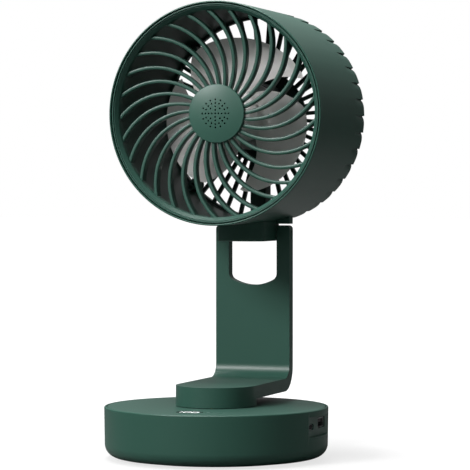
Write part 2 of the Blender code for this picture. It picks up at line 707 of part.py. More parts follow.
def arm_front_shell():
    """The L-shaped moulding: round foot, plate, bend, and the fork that carries the hinge."""
    outline = arm_profile(0.0, 0.0, 0.0, ARM_TOP)
    half = ARM_WIDTH / 2
    shell = prism("arm_front_shell", outline, -half, half, "housing", "X")
    foot = rod("arm_boss", BOSS_RADIUS, BOSS_BOTTOM, FOOT_TOP, None, sides=48)
    join(shell, foot)
    hollow_radius = BOSS_RADIUS - BOSS_WALL
    cut(shell, rod("boss_hollow", hollow_radius, BOSS_BOTTOM - 1 * MM, BOSS_ROOF, None, sides=48))
    window = prism("arm_window", window_outline(0.0), ARM_FRONT - 5 * MM, ARM_BACK + 5 * MM, None, "Y")
    cut(shell, window)

    # The wire channel is open at the back, and goes round the window.
    channel_outline = arm_profile(ARM_WALL, -5 * MM, COVER_START_Y, ARM_TOP - 2.6 * MM)
    channel = across_arm("wire_channel", channel_outline, half - ARM_SIDE_WALL)
    surround = window_outline(ARM_SIDE_WALL)
    cut(channel, prism("window_wall", surround, ARM_FRONT - 9 * MM, ARM_BACK + 9 * MM, None, "Y"))
    tunnel_low = (-6 * MM, hollow_radius - 3 * MM, FLANGE_TOP + 1 * MM)
    tunnel = block("wire_tunnel", tunnel_low, (6 * MM, COVER_START_Y + 1 * MM, BOSS_ROOF), None)
    cut(shell, channel, tunnel)
    for i, place in enumerate(FLANGE_SCREWS):
        post = rod(f"flange_post_{i}", 3.4 * MM, FLANGE_TOP + GAP, BOSS_ROOF + 1 * MM, None, centre=place)
        join(shell, post)
    for i, place in enumerate(FLANGE_SCREWS):
        cut(shell, screw_hole(f"flange_post_bore_{i}", FLANGE_TOP - 1 * MM, BOSS_ROOF - 0.8 * MM, centre=place))
    hinge = (HINGE_Y, HINGE_Z)
    inside_wall = half - ARM_SIDE_WALL - 0.5 * MM
    pin_hole = rod("fork_pin_hole", HINGE_PIN_RADIUS + GAP, -inside_wall, inside_wall, None, "X", hinge)
    cut(shell, pin_hole)
    for side, name in ((-1, "left"), (1, "right")):
        ends = sorted((side * (inside_wall - 0.5 * MM), side * (half + 1 * MM)))
        cut(shell, rod(f"cap_hole_{name}", CAP_PLUG_RADIUS + GAP, ends[0], ends[1], None, "X", hinge))
    return shell


CAP_PLUG_RADIUS = HINGE_PIN_RADIUS + 0.85 * MM


def arm_rear_cover():
    """The thin lid that closes the arm's back and underside over the wire channel."""
    outer_centre = (ARM_BACK - OUTER_BEND, FOOT_BOTTOM + OUTER_BEND)
    top = ARM_TOP - 2.6 * MM - GAP
    outline = [(COVER_START_Y + GAP, FOOT_BOTTOM)]
    outline += arc(outer_centre, OUTER_BEND, -90, 0, 8)
    outline += [(ARM_BACK, top), (ARM_BACK - REAR_COVER, top)]
    outline += arc(outer_centre, OUTER_BEND - REAR_COVER, 0, -90, 8)
    outline += [(COVER_START_Y + GAP, FOOT_BOTTOM + REAR_COVER)]
    half = ARM_WIDTH / 2 - ARM_SIDE_WALL - GAP
    cover = prism("arm_rear_cover", outline, -half, half, "housing", "X")
    surround = window_outline(ARM_SIDE_WALL + GAP)
    cut(cover, prism("cover_window", surround, ARM_FRONT - 9 * MM, ARM_BACK + 9 * MM, None, "Y"))
    return cover


def swivel_shaft():
    """Hollow shaft with the flange that closes the foot. The wires run down through it."""
    profile = [
        (SHAFT_BORE, 6 * MM),
        (SHAFT_BORE, FLANGE_TOP),
        (BOSS_RADIUS - BOSS_WALL - GAP, FLANGE_TOP),
        (BOSS_RADIUS - BOSS_WALL - GAP, FLANGE_BOTTOM),
        (SHAFT_RADIUS, FLANGE_BOTTOM),
        (SHAFT_RADIUS, 6 * MM),
    ]
    shaft = turned("swivel_shaft", profile, "black")
    seat = FLANGE_BOTTOM + 1.7 * MM
    for i, place in enumerate(FLANGE_SCREWS):
        bore = rod(f"flange_head_bore_{i}", SCREW_HEAD_RADIUS + GAP, FLANGE_BOTTOM - 1 * MM, seat, None, centre=place)
        hole = screw_hole(f"flange_bore_{i}", FLANGE_BOTTOM, FLANGE_TOP + 1 * MM, centre=place)
        cut(shaft, bore, hole)
    return shaft


def arm_small_pieces():
    half = ARM_WIDTH / 2
    hinge = (HINGE_Y, HINGE_Z)
    reach = half - ARM_SIDE_WALL - 0.4 * MM
    pieces = [rod("hinge_pin", HINGE_PIN_RADIUS, -reach, reach, "steel", "X", hinge)]
    inner = reach + GAP
    outer = half - 0.1 * MM
    pieces.append(rod("hinge_cap_right", CAP_PLUG_RADIUS, inner, outer, "housing", "X", hinge))
    pieces.append(rod("hinge_cap_left", CAP_PLUG_RADIUS, -outer, -inner, "housing", "X", hinge))
    clip_top = GEAR_LOW - 0.5 * MM
    pieces.append(
        tube("shaft_clip", SHAFT_RADIUS + GAP, SHAFT_RADIUS + 2.7 * MM, clip_top - 1.2 * MM, clip_top, "steel")
    )
    for i, place in enumerate(FLANGE_SCREWS, 1):
        head_low = FLANGE_BOTTOM + 0.2 * MM
        pieces.append(screw(f"flange_screw_{i}", head_low, 1.2 * MM, 5.6 * MM, centre=place))
    return pieces


# ---------------------------------------------------------------- head

HEAD_AXIS = (0.0, HEAD_Z)
HEAD_LENGTH = HEAD_BACK - HEAD_FRONT


def drum_radius(y):
    """The drum's outer radius, which narrows evenly from front to back."""
    share = (y - HEAD_FRONT) / HEAD_LENGTH
    return DRUM_FRONT_RADIUS + (DRUM_BACK_RADIUS - DRUM_FRONT_RADIUS) * share


def neck_bracket():
    """The round-fronted neck that hangs in the fork, with a cross bar that follows the arm."""
    half = WINDOW_WIDTH / 2 - NECK_CLEARANCE
    back = HINGE_Y + NECK_BELOW_HINGE - 0.2 * MM
    outline = bowed_end(NECK_FRONT, -NECK_CLEARANCE) + [(half, back), (-half, back)]
    bottom = HINGE_Z - NECK_BELOW_HINGE
    inside_drum = HEAD_Z - DRUM_BACK_RADIUS + 12 * MM
    neck = prism("neck_bracket", outline, bottom, inside_drum, "housing")
    bar_low = (-ARM_WIDTH / 2, ARM_FRONT, ARM_TOP + SADDLE_GAP)
    bar = block("saddle_bar", bar_low, (ARM_WIDTH / 2, ARM_BACK, inside_drum), None)
    join(neck, bar)
    profile = [(0.0, HEAD_FRONT), (drum_radius(HEAD_FRONT) + GAP, HEAD_FRONT)]
    profile += [(drum_radius(HEAD_BACK) + GAP, HEAD_BACK), (0.0, HEAD_BACK)]
    saddle = turned("saddle_round", profile, None, "Y", HEAD_AXIS, SIDES_LARGE)
    hinge = (HINGE_Y, HINGE_Z)
    pin_hole = rod("neck_pin_hole", HINGE_PIN_RADIUS + GAP, -half - 1 * MM, half + 1 * MM, None, "X", hinge)
    cut(neck, saddle, pin_hole)
    for side, name in ((-1, "left"), (1, "right")):
        ends = sorted((side * (half - WASHER_THICKNESS - 2 * GAP), side * (half + 1 * MM)))
        cut(neck, rod(f"washer_seat_{name}", WASHER_RADIUS + GAP, ends[0], ends[1], None, "X", hinge))
    for i, y in enumerate(NECK_SCREWS_Y):
        cut(neck, screw_hole(f"neck_bore_{i}", HINGE_Z - 0.5 * MM, inside_drum, centre=(0.0, y)))
    return neck


WASHER_RADIUS = 3.1 * MM
WASHER_THICKNESS = 1.0 * MM
NECK_SCREWS_Y = (48 * MM, 61 * MM)


def neck_small_pieces():
    hinge = (HINGE_Y, HINGE_Z)
    half = WINDOW_WIDTH / 2 - NECK_CLEARANCE
    pieces = []
    for side, name in ((-1, "left"), (1, "right")):
        ends = sorted((side * (half - WASHER_THICKNESS - GAP), side * (half - GAP)))
        bore = HINGE_PIN_RADIUS + GAP
        pieces.append(
            tube(f"friction_washer_{name}", bore, WASHER_RADIUS, ends[0], ends[1], "steel", "X", hinge, SIDES_SMALL)
        )
    for i, y in enumerate(NECK_SCREWS_Y, 1):
        wall_inside = HEAD_Z - drum_radius(y) + DRUM_WALL
        head_top = wall_inside + GAP + 2 * MM
        pieces.append(screw(f"neck_screw_{i}", head_top, 2 * MM, 9 * MM, centre=(0.0, y), forward=-1))
    return pieces


def drum_shell():
    """The drum: a thin lip round the grille's seat, and shallow flutes at its back edge."""
    flute_start = HEAD_BACK - FLUTE_LENGTH
    back_inside = drum_radius(HEAD_BACK) - DRUM_WALL
    front_inside = drum_radius(GRILLE_SEAT) - DRUM_WALL
    lip_inside = DRUM_FRONT_RADIUS - DRUM_LIP
    edge = 0.5 * MM
    # (y, radius, flute depth) round the wall's section
    section = [
        (HEAD_FRONT, DRUM_FRONT_RADIUS - edge, 0.0),
        (HEAD_FRONT + edge, DRUM_FRONT_RADIUS, 0.0),
        (flute_start, drum_radius(flute_start), 0.0),
        (HEAD_BACK - 0.8 * MM, drum_radius(HEAD_BACK), FLUTE_DEPTH),
        (HEAD_BACK, drum_radius(HEAD_BACK) - 0.8 * MM, FLUTE_DEPTH - 0.8 * MM),
        (HEAD_BACK, back_inside, 0.0),
        (GRILLE_SEAT, front_inside, 0.0),
        (GRILLE_SEAT, lip_inside, 0.0),
        (HEAD_FRONT, lip_inside, 0.0),
    ]
    step = 2 * math.pi / FLUTES
    bearings = []
    for flute in range(FLUTES):
        middle = flute * step
        bearings += [(middle - FLUTE_HALF_ANGLE, 0.0), (middle, 1.0)]
        bearings.append((middle + FLUTE_HALF_ANGLE, 0.0))
    points = []
    for y, radius, depth in section:
        for angle, share in bearings:
            r = radius - depth * share
            points.append((r * math.cos(angle), y, HEAD_Z + r * math.sin(angle)))
    count = len(bearings)
    faces = []
    for row in range(len(section)):
        below = row * count
        above = (row + 1) % len(section) * count
        for i in range(count):
            j = (i + 1) % count
            faces.append((below + i, below + j, above + j, above + i))
    drum = add("drum_shell", points, faces, "housing")

    # Posts for the rear grille's screws stand on the inside of the wall.
    post_back = REAR_GRILLE_FRONT - GAP
    for k in range(4):
        degrees = 45 + 90 * k
        place = on_circle(REAR_SCREW_CIRCLE, degrees, HEAD_AXIS)
        post = rod(f"rear_post_{k}", 3.2 * MM, post_back - 10 * MM, post_back, None, "Y", place)
        web = block(
            f"rear_post_web_{k}",
            (REAR_SCREW_CIRCLE - 1 * MM, post_back - 10 * MM, -2 * MM),
            (back_inside + 0.8 * MM, post_back, 2 * MM),
            None,
        )
        web.data.transform(Matrix.Rotation(-math.radians(degrees), 4, "Y"))
        web.location = (0.0, 0.0, HEAD_Z)
        join(drum, post, web)
    for k in range(4):
        place = on_circle(REAR_SCREW_CIRCLE, 45 + 90 * k, HEAD_AXIS)
        cut(drum, screw_hole(f"rear_post_bore_{k}", post_back - 8 * MM, post_back + 1 * MM, "Y", place))
    for i, y in enumerate(NECK_SCREWS_Y):
        outside = HEAD_Z - DRUM_FRONT_RADIUS
        cut(drum, screw_hole(f"drum_bottom_bore_{i}", outside - 2 * MM, outside + 8 * MM, centre=(0.0, y)))
    return drum


def rib_angle(radius, tip_radius):
    """How far a rib has turned back at a radius, counted from its tip at the ring."""
    share = (tip_radius - radius) / (tip_radius - CAP_RADIUS)
    return -RIB_SWEEP * (1.4 * share - 0.4 * share * share)


def front_grille():
    """Bevelled ring, swept ribs and the plate behind the cap, in one moulding."""
    outer = DRUM_FRONT_RADIUS - DRUM_LIP - GAP
    inner = RING_INNER_RADIUS
    front = HEAD_FRONT + 0.6 * MM
    back = GRILLE_SEAT - 0.6 * MM
    profile = [
        (outer, front),
        (outer - 0.9 * MM, front),
        (inner + 0.3 * MM, front + 3.3 * MM),
        (inner, front + 3.9 * MM),
        (inner, back),
        (outer, back),
    ]
    grille = turned("front_grille", profile, "grille", "Y", HEAD_AXIS, SIDES_LARGE)

    plate_radius = CAP_RADIUS - 1 * MM
    tip = inner + 1.2 * MM
    root = plate_radius - 1 * MM
    steps = 5
    points = []
    faces = []
    for rib in range(RIBS):
        lead = RIB_LEAD + 2 * math.pi * rib / RIBS
        first = len(points)
        for step in range(steps + 1):
            radius = root + (tip - root) * step / steps
            share = (radius - CAP_RADIUS) / (inner - CAP_RADIUS)
            rib_front = RIB_FRONT_AT_CAP + (RIB_FRONT_AT_RING - RIB_FRONT_AT_CAP) * share
            angle = lead + rib_angle(radius, inner)
            ahead = lead + rib_angle(radius + 0.1 * MM, inner)
            along_x = (radius + 0.1 * MM) * math.cos(ahead) - radius * math.cos(angle)
            along_z = (radius + 0.1 * MM) * math.sin(ahead) - radius * math.sin(angle)
            length = math.hypot(along_x, along_z)
            side_x = -along_z / length * RIB_THICKNESS / 2
            side_z = along_x / length * RIB_THICKNESS / 2
            x = radius * math.cos(angle)
            z = HEAD_Z + radius * math.sin(angle)
            points.append((x - side_x, rib_front, z - side_z))
            points.append((x + side_x, rib_front, z + side_z))
            points.append((x + side_x, RIB_BACK, z + side_z))
            points.append((x - side_x, RIB_BACK, z - side_z))
        for step in range(steps):
            near = first + 4 * step
            far = near + 4
            for i in range(4):
                j = (i + 1) % 4
                faces.append((near + i, near + j, far + j, far + i))
        faces.append((first, first + 1, first + 2, first + 3))
        last = first + 4 * steps
        faces.append((last, last + 1, last + 2, last + 3))
    ribs = add("grille_ribs", points, faces, None)
    plate = rod("grille_plate", plate_radius, RIB_FRONT_AT_CAP + GAP, RIB_BACK + 0.2 * MM, None, "Y", HEAD_AXIS, SIDES_MEDIUM)
    join(grille, ribs, plate)
    return grille


def grille_cap():
    """The domed disc in the middle of the front grille."""
    rim_back = RIB_FRONT_AT_CAP - GAP
    wall = 1.2 * MM
    steps = 4
    dome = []
    for step in range(steps + 1):
        share = step / steps
        dome.append((share * (CAP_RADIUS - 0.5 * MM), -0.2 * MM - CAP_DOME * (1 - share * share)))
    profile = dome + [(CAP_RADIUS, 0.3 * MM), (CAP_RADIUS, rim_back), (CAP_RADIUS - wall, rim_back)]
    inner = [(r, y + wall) for r, y in dome if r < CAP_RADIUS - 2 * wall]
    profile += list(reversed(inner))
    return turned("grille_cap", profile, "housing", "Y", HEAD_AXIS, SIDES_MEDIUM)


def rear_grille():
    """Straight bars from a ring to a disc, with the motor's tower and a hollow wire spoke."""
    ring_outer = drum_radius(HEAD_BACK) - DRUM_WALL - RUNNING_GAP
    ring_inner = ring_outer - REAR_RING
    front = REAR_GRILLE_FRONT
    back = REAR_GRILLE_BACK
    grille = tube("rear_grille", ring_inner, ring_outer, front, back, "grille", "Y", HEAD_AXIS, SIDES_LARGE)
    points = []
    faces = []
    for bar in range(BARS):
        turn = Matrix.Rotation(-(bar + 0.5) * 2 * math.pi / BARS, 4, "Y")
        first = len(points)
        for x in (REAR_DISC_RADIUS - 2 * MM, ring_inner + REAR_RING / 2):
            for y in (front + 0.8 * MM, back - 0.1 * MM):
                for z in (-BAR_WIDTH / 2, BAR_WIDTH / 2):
                    points.append(turn @ Vector((x, y, z)) + Vector((0.0, 0.0, HEAD_Z)))
        for corners in ((0, 1, 3, 2), (4, 5, 7, 6), (0, 1, 5, 4), (2, 3, 7, 6), (0, 2, 6, 4), (1, 3, 7, 5)):
            faces.append(tuple(first + corner for corner in corners))
    bars = add("rear_bars", points, faces, None)
    disc = rod("rear_disc", REAR_DISC_RADIUS, back - 3 * MM, back, None, "Y", HEAD_AXIS, SIDES_MEDIUM)
    tower = tube(
        "motor_tower",
        TOWER_RADIUS - TOWER_WALL,
        TOWER_RADIUS,
        TOWER_FRONT,
        back - 1.5 * MM,
        None,
        "Y",
        HEAD_AXIS,
    )
    join(grille, bars, disc, tower)
    spoke = block(
        "wire_spoke",
        (-WIRE_SPOKE_HALF_WIDTH, WIRE_SPOKE_FRONT, HEAD_Z - ring_inner - REAR_RING / 2),
        (WIRE_SPOKE_HALF_WIDTH, back - 0.2 * MM, HEAD_Z - TOWER_RADIUS + 1 * MM),
        None,
    )
    join(grille, spoke)
    lug_back = front + 2.8 * MM
    for k in range(4):
        place = on_circle(REAR_SCREW_CIRCLE, 45 + 90 * k, HEAD_AXIS)
        join(grille, rod(f"rear_lug_{k}", REAR_LUG_RADIUS, front, lug_back, None, "Y", place))
        hole = screw_hole(f"rear_lug_hole_{k}", front - 1 * MM, back + 1 * MM, "Y", place)
        head = rod(f"rear_head_room_{k}", SCREW_HEAD_RADIUS + GAP, lug_back, back + 1 * MM, None, "Y", place)
        cut(grille, hole, head)
    for i, place in enumerate(MOTOR_SCREWS):
        cut(grille, screw_hole(f"tower_bore_{i}", TOWER_FRONT - 1 * MM, TOWER_FRONT + 9 * MM, "Y", place))
    return grille


MOTOR_SCREWS = [on_circle(TOWER_RADIUS - TOWER_WALL / 2, 180 * k, HEAD_AXIS) for k in range(2)]
FLANGE_Y = TOWER_FRONT - RUNNING_GAP
MOTOR_FLANGE = 3.4 * MM


def fan_motor():
    """The fixed half of the motor: flanged tube, two bearings, wound stator and its board."""
    flange_front = FLANGE_Y - MOTOR_FLANGE
    bore = BEARING_RADIUS + GAP
    tube_front = IMPELLER_FRONT + 7 * MM
    profile = [
        (bore, tube_front),
        (MOTOR_TUBE_RADIUS, tube_front),
        (MOTOR_TUBE_RADIUS, flange_front),
        (TOWER_RADIUS - 0.4 * MM, flange_front),
        (TOWER_RADIUS - 0.4 * MM, FLANGE_Y),
        (bore, FLANGE_Y),
    ]
    base = turned("motor_base", profile, "steel", "Y", HEAD_AXIS)
    for i, place in enumerate(MOTOR_SCREWS):
        cut(base, screw_hole(f"motor_base_hole_{i}", flange_front - 1 * MM, FLANGE_Y + 1 * MM, "Y", place))
    pieces = [base]
    inner = MOTOR_SHAFT_RADIUS + GAP
    for name, low in (("bearing_front", tube_front + 0.5 * MM), ("bearing_rear", FLANGE_Y - 6 * MM)):
        high = low + BEARING_WIDTH
        pieces.append(tube(name, inner, BEARING_RADIUS, low, high, "steel", "Y", HEAD_AXIS, SIDES_SMALL))

    # Each pole is a neck with a wide foot towards the magnets.
    outline = []
    pole_angle = 360.0 / STATOR_POLES
    core = MOTOR_TUBE_RADIUS + 2.2 * MM
    for pole in range(STATOR_POLES):
        middle = pole * pole_angle
        foot = STATOR_RADIUS - 1.4 * MM
        for radius, share in ((core, 0.17), (foot, 0.10), (foot, 0.42), (STATOR_RADIUS, 0.42)):
            outline.append(on_circle(radius, middle - share * pole_angle, HEAD_AXIS))
        outline.append(on_circle(STATOR_RADIUS, middle, HEAD_AXIS))
        for radius, share in ((STATOR_RADIUS, 0.42), (foot, 0.42), (foot, 0.10), (core, 0.17)):
            outline.append(on_circle(radius, middle + share * pole_angle, HEAD_AXIS))
    stator_front = tube_front + 3 * MM
    stator = prism("motor_stator", outline, stator_front, stator_front + 10 * MM, "brass", "Y")
    bore_radius = MOTOR_TUBE_RADIUS + GAP
    cut(stator, rod("stator_bore", bore_radius, stator_front - 1 * MM, stator_front + 11 * MM, None, "Y", HEAD_AXIS))
    pieces.append(stator)
    board_front = IMPELLER_FRONT + IMPELLER_HUB_LENGTH + 1.4 * MM
    pieces.append(
        tube("motor_board", bore_radius, 15 * MM, board_front, board_front + BOARD_THICKNESS, "board", "Y", HEAD_AXIS)
    )
    for i, place in enumerate(MOTOR_SCREWS, 1):
        head_front = flange_front - GAP - 1.6 * MM
        pieces.append(screw(f"motor_screw_{i}", head_front, 1.6 * MM, 9 * MM, "Y", place))
    return pieces


def blade_surface(chord, reach):
    """A point on a blade's middle surface. chord runs 0 to 1 from its front edge to its back edge."""
    root = IMPELLER_HUB_RADIUS - IMPELLER_HUB_WALL * 0.6
    radius = root + (IMPELLER_RADIUS - root) * reach
    rounding = 0.05 * abs(2 * chord - 1) ** 6 * reach
    radius -= rounding * IMPELLER_RADIUS
    angle = BLADE_LEAD + BLADE_SWEEP * (1 - reach) + BLADE_SPAN * (0.5 - chord)
    y = BLADE_FRONT + (BLADE_BACK - BLADE_FRONT) * chord
    return Vector((radius * math.cos(angle), y, radius * math.sin(angle)))


def impeller():
    """Hub and three wide swept blades, moulded in one."""
    front = IMPELLER_FRONT
    back = front + IMPELLER_HUB_LENGTH
    bore = MOTOR_SHAFT_RADIUS + GAP
    radius = IMPELLER_HUB_RADIUS
    inner = radius - IMPELLER_HUB_WALL
    profile = [
        (bore, front),
        (radius * 0.72, front + 0.3 * MM),
        (radius - 1 * MM, front + 1.5 * MM),
        (radius, front + 3.5 * MM),
        (radius, back),
        (inner, back),
        (inner, front + 2.8 * MM),
        (bore, front + 2.8 * MM),
    ]
    hub = turned("impeller", profile, "blade", "Y", HEAD_AXIS)
    chords = 9
    reaches = 4
    for blade in range(BLADES):
        turn = Matrix.Rotation(-2 * math.pi * blade / BLADES, 3, "Y")
        points = []
        for side in (-1, 1):
            for i in range(chords + 1):
                for j in range(reaches + 1):
                    here = blade_surface(i / chords, j / reaches)
                    step = 0.001
                    across = blade_surface(i / chords + step, j / reaches) - here
                    out = blade_surface(i / chords, j / reaches + step) - here
                    normal = across.cross(out).normalized()
                    point = here + normal * side * BLADE_THICKNESS / 2
                    points.append(turn @ point + Vector((0.0, 0.0, HEAD_Z)))
        width = reaches + 1
        sheet = (chords + 1) * width
        faces = []
        for i in range(chords):
            for j in range(reaches):
                a = i * width + j
                quad = (a, a + 1, a + width + 1, a + width)
                faces.append(quad)
                faces.append(tuple(sheet + corner for corner in quad))
        rim = [i * width for i in range(chords + 1)]
        rim += [chords * width + j for j in range(1, width)]
        rim += [i * width + reaches for i in range(chords - 1, -1, -1)]
        rim += [j for j in range(reaches - 1, 0, -1)]
        for a, b in zip(rim, rim[1:] + rim[:1]):
            faces.append((a, b, sheet + b, sheet + a))
        join(hub, add(f"blade_{blade}", points, faces, None))
    return hub


def spinning_pieces():
    front = IMPELLER_FRONT
    bore = MOTOR_SHAFT_RADIUS + GAP
    pieces = [impeller()]
    cup_front = front + 3.2 * MM
    cup_back = front + IMPELLER_HUB_LENGTH - 0.5 * MM
    inner = ROTOR_RADIUS - ROTOR_WALL
    profile = [
        (bore, cup_front),
        (ROTOR_RADIUS, cup_front),
        (ROTOR_RADIUS, cup_back),
        (inner, cup_back),
        (inner, cup_front + ROTOR_WALL),
        (bore, cup_front + ROTOR_WALL),
    ]
    pieces.append(turned("rotor_cup", profile, "steel", "Y", HEAD_AXIS))
    shaft_back = FLANGE_Y - 1.5 * MM
    pieces.append(rod("motor_shaft", MOTOR_SHAFT_RADIUS, front - 2.5 * MM, shaft_back, "steel", "Y", HEAD_AXIS))
    hexagon = [on_circle(3.8 * MM, 60 * k, HEAD_AXIS) for k in range(6)]
    nut = prism("impeller_nut", hexagon, front - 4.2 * MM, front - RUNNING_GAP, "black", "Y")
    cut(nut, rod("nut_bore", bore, front - 3.2 * MM, front, None, "Y", HEAD_AXIS))
    pieces.append(nut)
    return pieces


# ---------------------------------------------------------------- assembly


def build():
    clear_scene()
    base_lower_shell()
    base_top_cover()
    base_fasteners()
    non_slip_pad()
    display()
    control_board()
    usb_sockets()
    battery_cells()
    for name, switch_name, key_x in (
        ("power_key", "power_switch", POWER_KEY_X),
        ("swing_key", "swing_switch", SWING_KEY_X),
    ):
        key = push_key(name, switch_name, key_x)
        pivot(name + "_slide", (key_x, DISPLAY_Y, BASE_HEIGHT), [key])
    pinion_pieces, gear_pieces = swing_drive()
    pivot("pinion_axis", (0.0, PINION_Y, GEAR_LOW), pinion_pieces)

    arm_pieces = gear_pieces + [arm_front_shell(), arm_rear_cover(), swivel_shaft()]
    arm = pivot("swivel_axis", (0.0, 0.0, BASE_HEIGHT), arm_pieces + arm_small_pieces())

    head_pieces = [neck_bracket(), drum_shell(), front_grille(), grille_cap(), rear_grille()]
    head_pieces += neck_small_pieces() + fan_motor()
    for k in range(4):
        place = on_circle(REAR_SCREW_CIRCLE, 45 + 90 * k, HEAD_AXIS)
        head_back = REAR_GRILLE_FRONT + 2.8 * MM + GAP + 1.8 * MM
        head_pieces.append(screw(f"rear_grille_screw_{k + 1}", head_back, 1.8 * MM, 9 * MM, "Y", place, -1))
    head = pivot("fold_axis", (0.0, HINGE_Y, HINGE_Z), head_pieces, arm)
    pivot("impeller_axis", (0.0, IMPELLER_FRONT, HEAD_Z), spinning_pieces(), head)


build()
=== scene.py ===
"""Dark green rechargeable desk fan: round base, flat folding arm, drum-shaped head."""

import math

import bmesh
import bpy
from mathutils import Matrix, Vector
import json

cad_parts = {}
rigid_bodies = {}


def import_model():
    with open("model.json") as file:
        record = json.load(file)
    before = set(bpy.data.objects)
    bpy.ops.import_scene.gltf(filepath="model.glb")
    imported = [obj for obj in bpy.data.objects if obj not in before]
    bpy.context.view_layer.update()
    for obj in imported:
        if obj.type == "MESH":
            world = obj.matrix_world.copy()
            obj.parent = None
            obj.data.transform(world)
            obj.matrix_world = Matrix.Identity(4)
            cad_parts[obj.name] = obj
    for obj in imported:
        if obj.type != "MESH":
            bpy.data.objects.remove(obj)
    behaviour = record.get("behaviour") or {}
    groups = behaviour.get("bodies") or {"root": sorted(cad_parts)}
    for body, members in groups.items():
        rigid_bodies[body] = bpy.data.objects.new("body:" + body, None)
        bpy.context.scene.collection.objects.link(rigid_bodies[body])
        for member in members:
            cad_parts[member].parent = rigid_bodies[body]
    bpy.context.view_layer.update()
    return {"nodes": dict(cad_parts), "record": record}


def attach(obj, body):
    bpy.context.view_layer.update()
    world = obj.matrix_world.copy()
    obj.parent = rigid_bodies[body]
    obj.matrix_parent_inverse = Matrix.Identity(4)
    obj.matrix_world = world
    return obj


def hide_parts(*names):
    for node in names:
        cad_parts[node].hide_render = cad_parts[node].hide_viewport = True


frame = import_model()
MM = 0.001


# ---- Desk top, lights and camera
# A wide pale top with a very fine grain, lit from above and from the front left, and a long lens
# at the fan's front right, a little above the base.

floor_mesh = bpy.data.meshes.new("desk_top")
floor_edit = bmesh.new()
bmesh.ops.create_grid(floor_edit, x_segments=8, y_segments=8, size=12.0)
floor_edit.to_mesh(floor_mesh)
floor_edit.free()
desk_top = bpy.data.objects.new("desk_top", floor_mesh)
desk_top.location.z = -0.0001
bpy.context.scene.collection.objects.link(desk_top)

desk_finish = bpy.data.materials.new("pale_desk")
desk_finish.use_nodes = True
desk_nodes = desk_finish.node_tree.nodes
desk_links = desk_finish.node_tree.links
desk_shader = desk_nodes["Principled BSDF"]
desk_shader.inputs["Roughness"].default_value = 0.7
desk_shader.inputs["Specular IOR Level"].default_value = 0.2
desk_shader.inputs["Emission Color"].default_value = (1.0, 1.0, 1.0, 1.0)
desk_ray = desk_nodes.new("ShaderNodeLightPath")
desk_glow = desk_nodes.new("ShaderNodeMath")
desk_glow.operation = "MULTIPLY"
desk_place = desk_nodes.new("ShaderNodeTexCoord")
desk_reach = desk_nodes.new("ShaderNodeVectorMath")
desk_reach.operation = "LENGTH"
desk_fade = desk_nodes.new("ShaderNodeMapRange")
desk_fade.inputs["From Min"].default_value = 0.07
desk_fade.inputs["From Max"].default_value = 0.45
desk_fade.inputs["To Min"].default_value = 0.74
desk_fade.inputs["To Max"].default_value = 1.0
desk_links.new(desk_place.outputs["Object"], desk_reach.inputs[0])
desk_links.new(desk_reach.outputs["Value"], desk_fade.inputs["Value"])
desk_links.new(desk_ray.outputs["Is Camera Ray"], desk_glow.inputs[0])
desk_links.new(desk_fade.outputs["Result"], desk_glow.inputs[1])
desk_links.new(desk_glow.outputs["Value"], desk_shader.inputs["Emission Strength"])
desk_noise = desk_nodes.new("ShaderNodeTexNoise")
desk_noise.inputs["Scale"].default_value = 300.0
desk_ramp = desk_nodes.new("ShaderNodeMix")
desk_ramp.data_type = "RGBA"
desk_ramp.inputs["A"].default_value = (0.11, 0.11, 0.11, 1.0)
desk_ramp.inputs["B"].default_value = (0.13, 0.13, 0.13, 1.0)
desk_links.new(desk_noise.outputs["Fac"], desk_ramp.inputs["Factor"])
desk_links.new(desk_ramp.outputs["Result"], desk_shader.inputs["Base Color"])
floor_mesh.materials.append(desk_finish)

world = bpy.data.worlds.new("studio")
bpy.context.scene.world = world
world.use_nodes = True
room_nodes = world.node_tree.nodes
room_links = world.node_tree.links
room_glow = room_nodes["Background"]
room_glow.inputs["Color"].default_value = (1.0, 1.0, 1.0, 1.0)
room_ray = room_nodes.new("ShaderNodeLightPath")
room_level = room_nodes.new("ShaderNodeMapRange")
room_level.inputs["To Max"].default_value = 1.0
room_direction = room_nodes.new("ShaderNodeTexCoord")
room_height = room_nodes.new("ShaderNodeSeparateXYZ")
room_ceiling = room_nodes.new("ShaderNodeMapRange")
room_ceiling.inputs["From Min"].default_value = 0.0
room_ceiling.inputs["From Max"].default_value = 0.8
room_ceiling.inputs["To Min"].default_value = 0.07
room_ceiling.inputs["To Max"].default_value = 0.45
room_links.new(room_direction.outputs["Generated"], room_height.inputs["Vector"])
room_links.new(room_height.outputs["Z"], room_ceiling.inputs["Value"])
room_links.new(room_ceiling.outputs["Result"], room_level.inputs["To Min"])
room_links.new(room_ray.outputs["Is Camera Ray"], room_level.inputs["Value"])
room_links.new(room_level.outputs["Result"], room_glow.inputs["Strength"])
bpy.context.scene.view_settings.view_transform = "Standard"


def soft_light(name, place, aim, size, power, spread=180.0):
    lamp = bpy.data.lights.new(name, "AREA")
    lamp.shape = "RECTANGLE"
    lamp.size = size[0]
    lamp.size_y = size[1]
    lamp.energy = power
    lamp.spread = math.radians(spread)
    holder = bpy.data.objects.new(name, lamp)
    holder.location = place
    holder.rotation_euler = (Vector(aim) - Vector(place)).to_track_quat("-Z", "Y").to_euler()
    bpy.context.scene.collection.objects.link(holder)


soft_light("overhead_panel", (-0.15, 0.05, 1.20), (0.0, 0.0, 0.15), (0.7, 0.5), 26.0)
soft_light("key_panel", (-0.70, -1.05, 0.95), (0.0, -0.05, 0.25), (0.4, 0.4), 2.3, 46.0)
soft_light("front_panel", (0.10, -1.90, 0.75), (0.0, 0.0, 0.20), (1.0, 0.6), 3.0)
soft_light("back_panel", (-0.10, 1.10, 0.90), (0.0, 0.05, 0.25), (0.9, 0.4), 0.5)

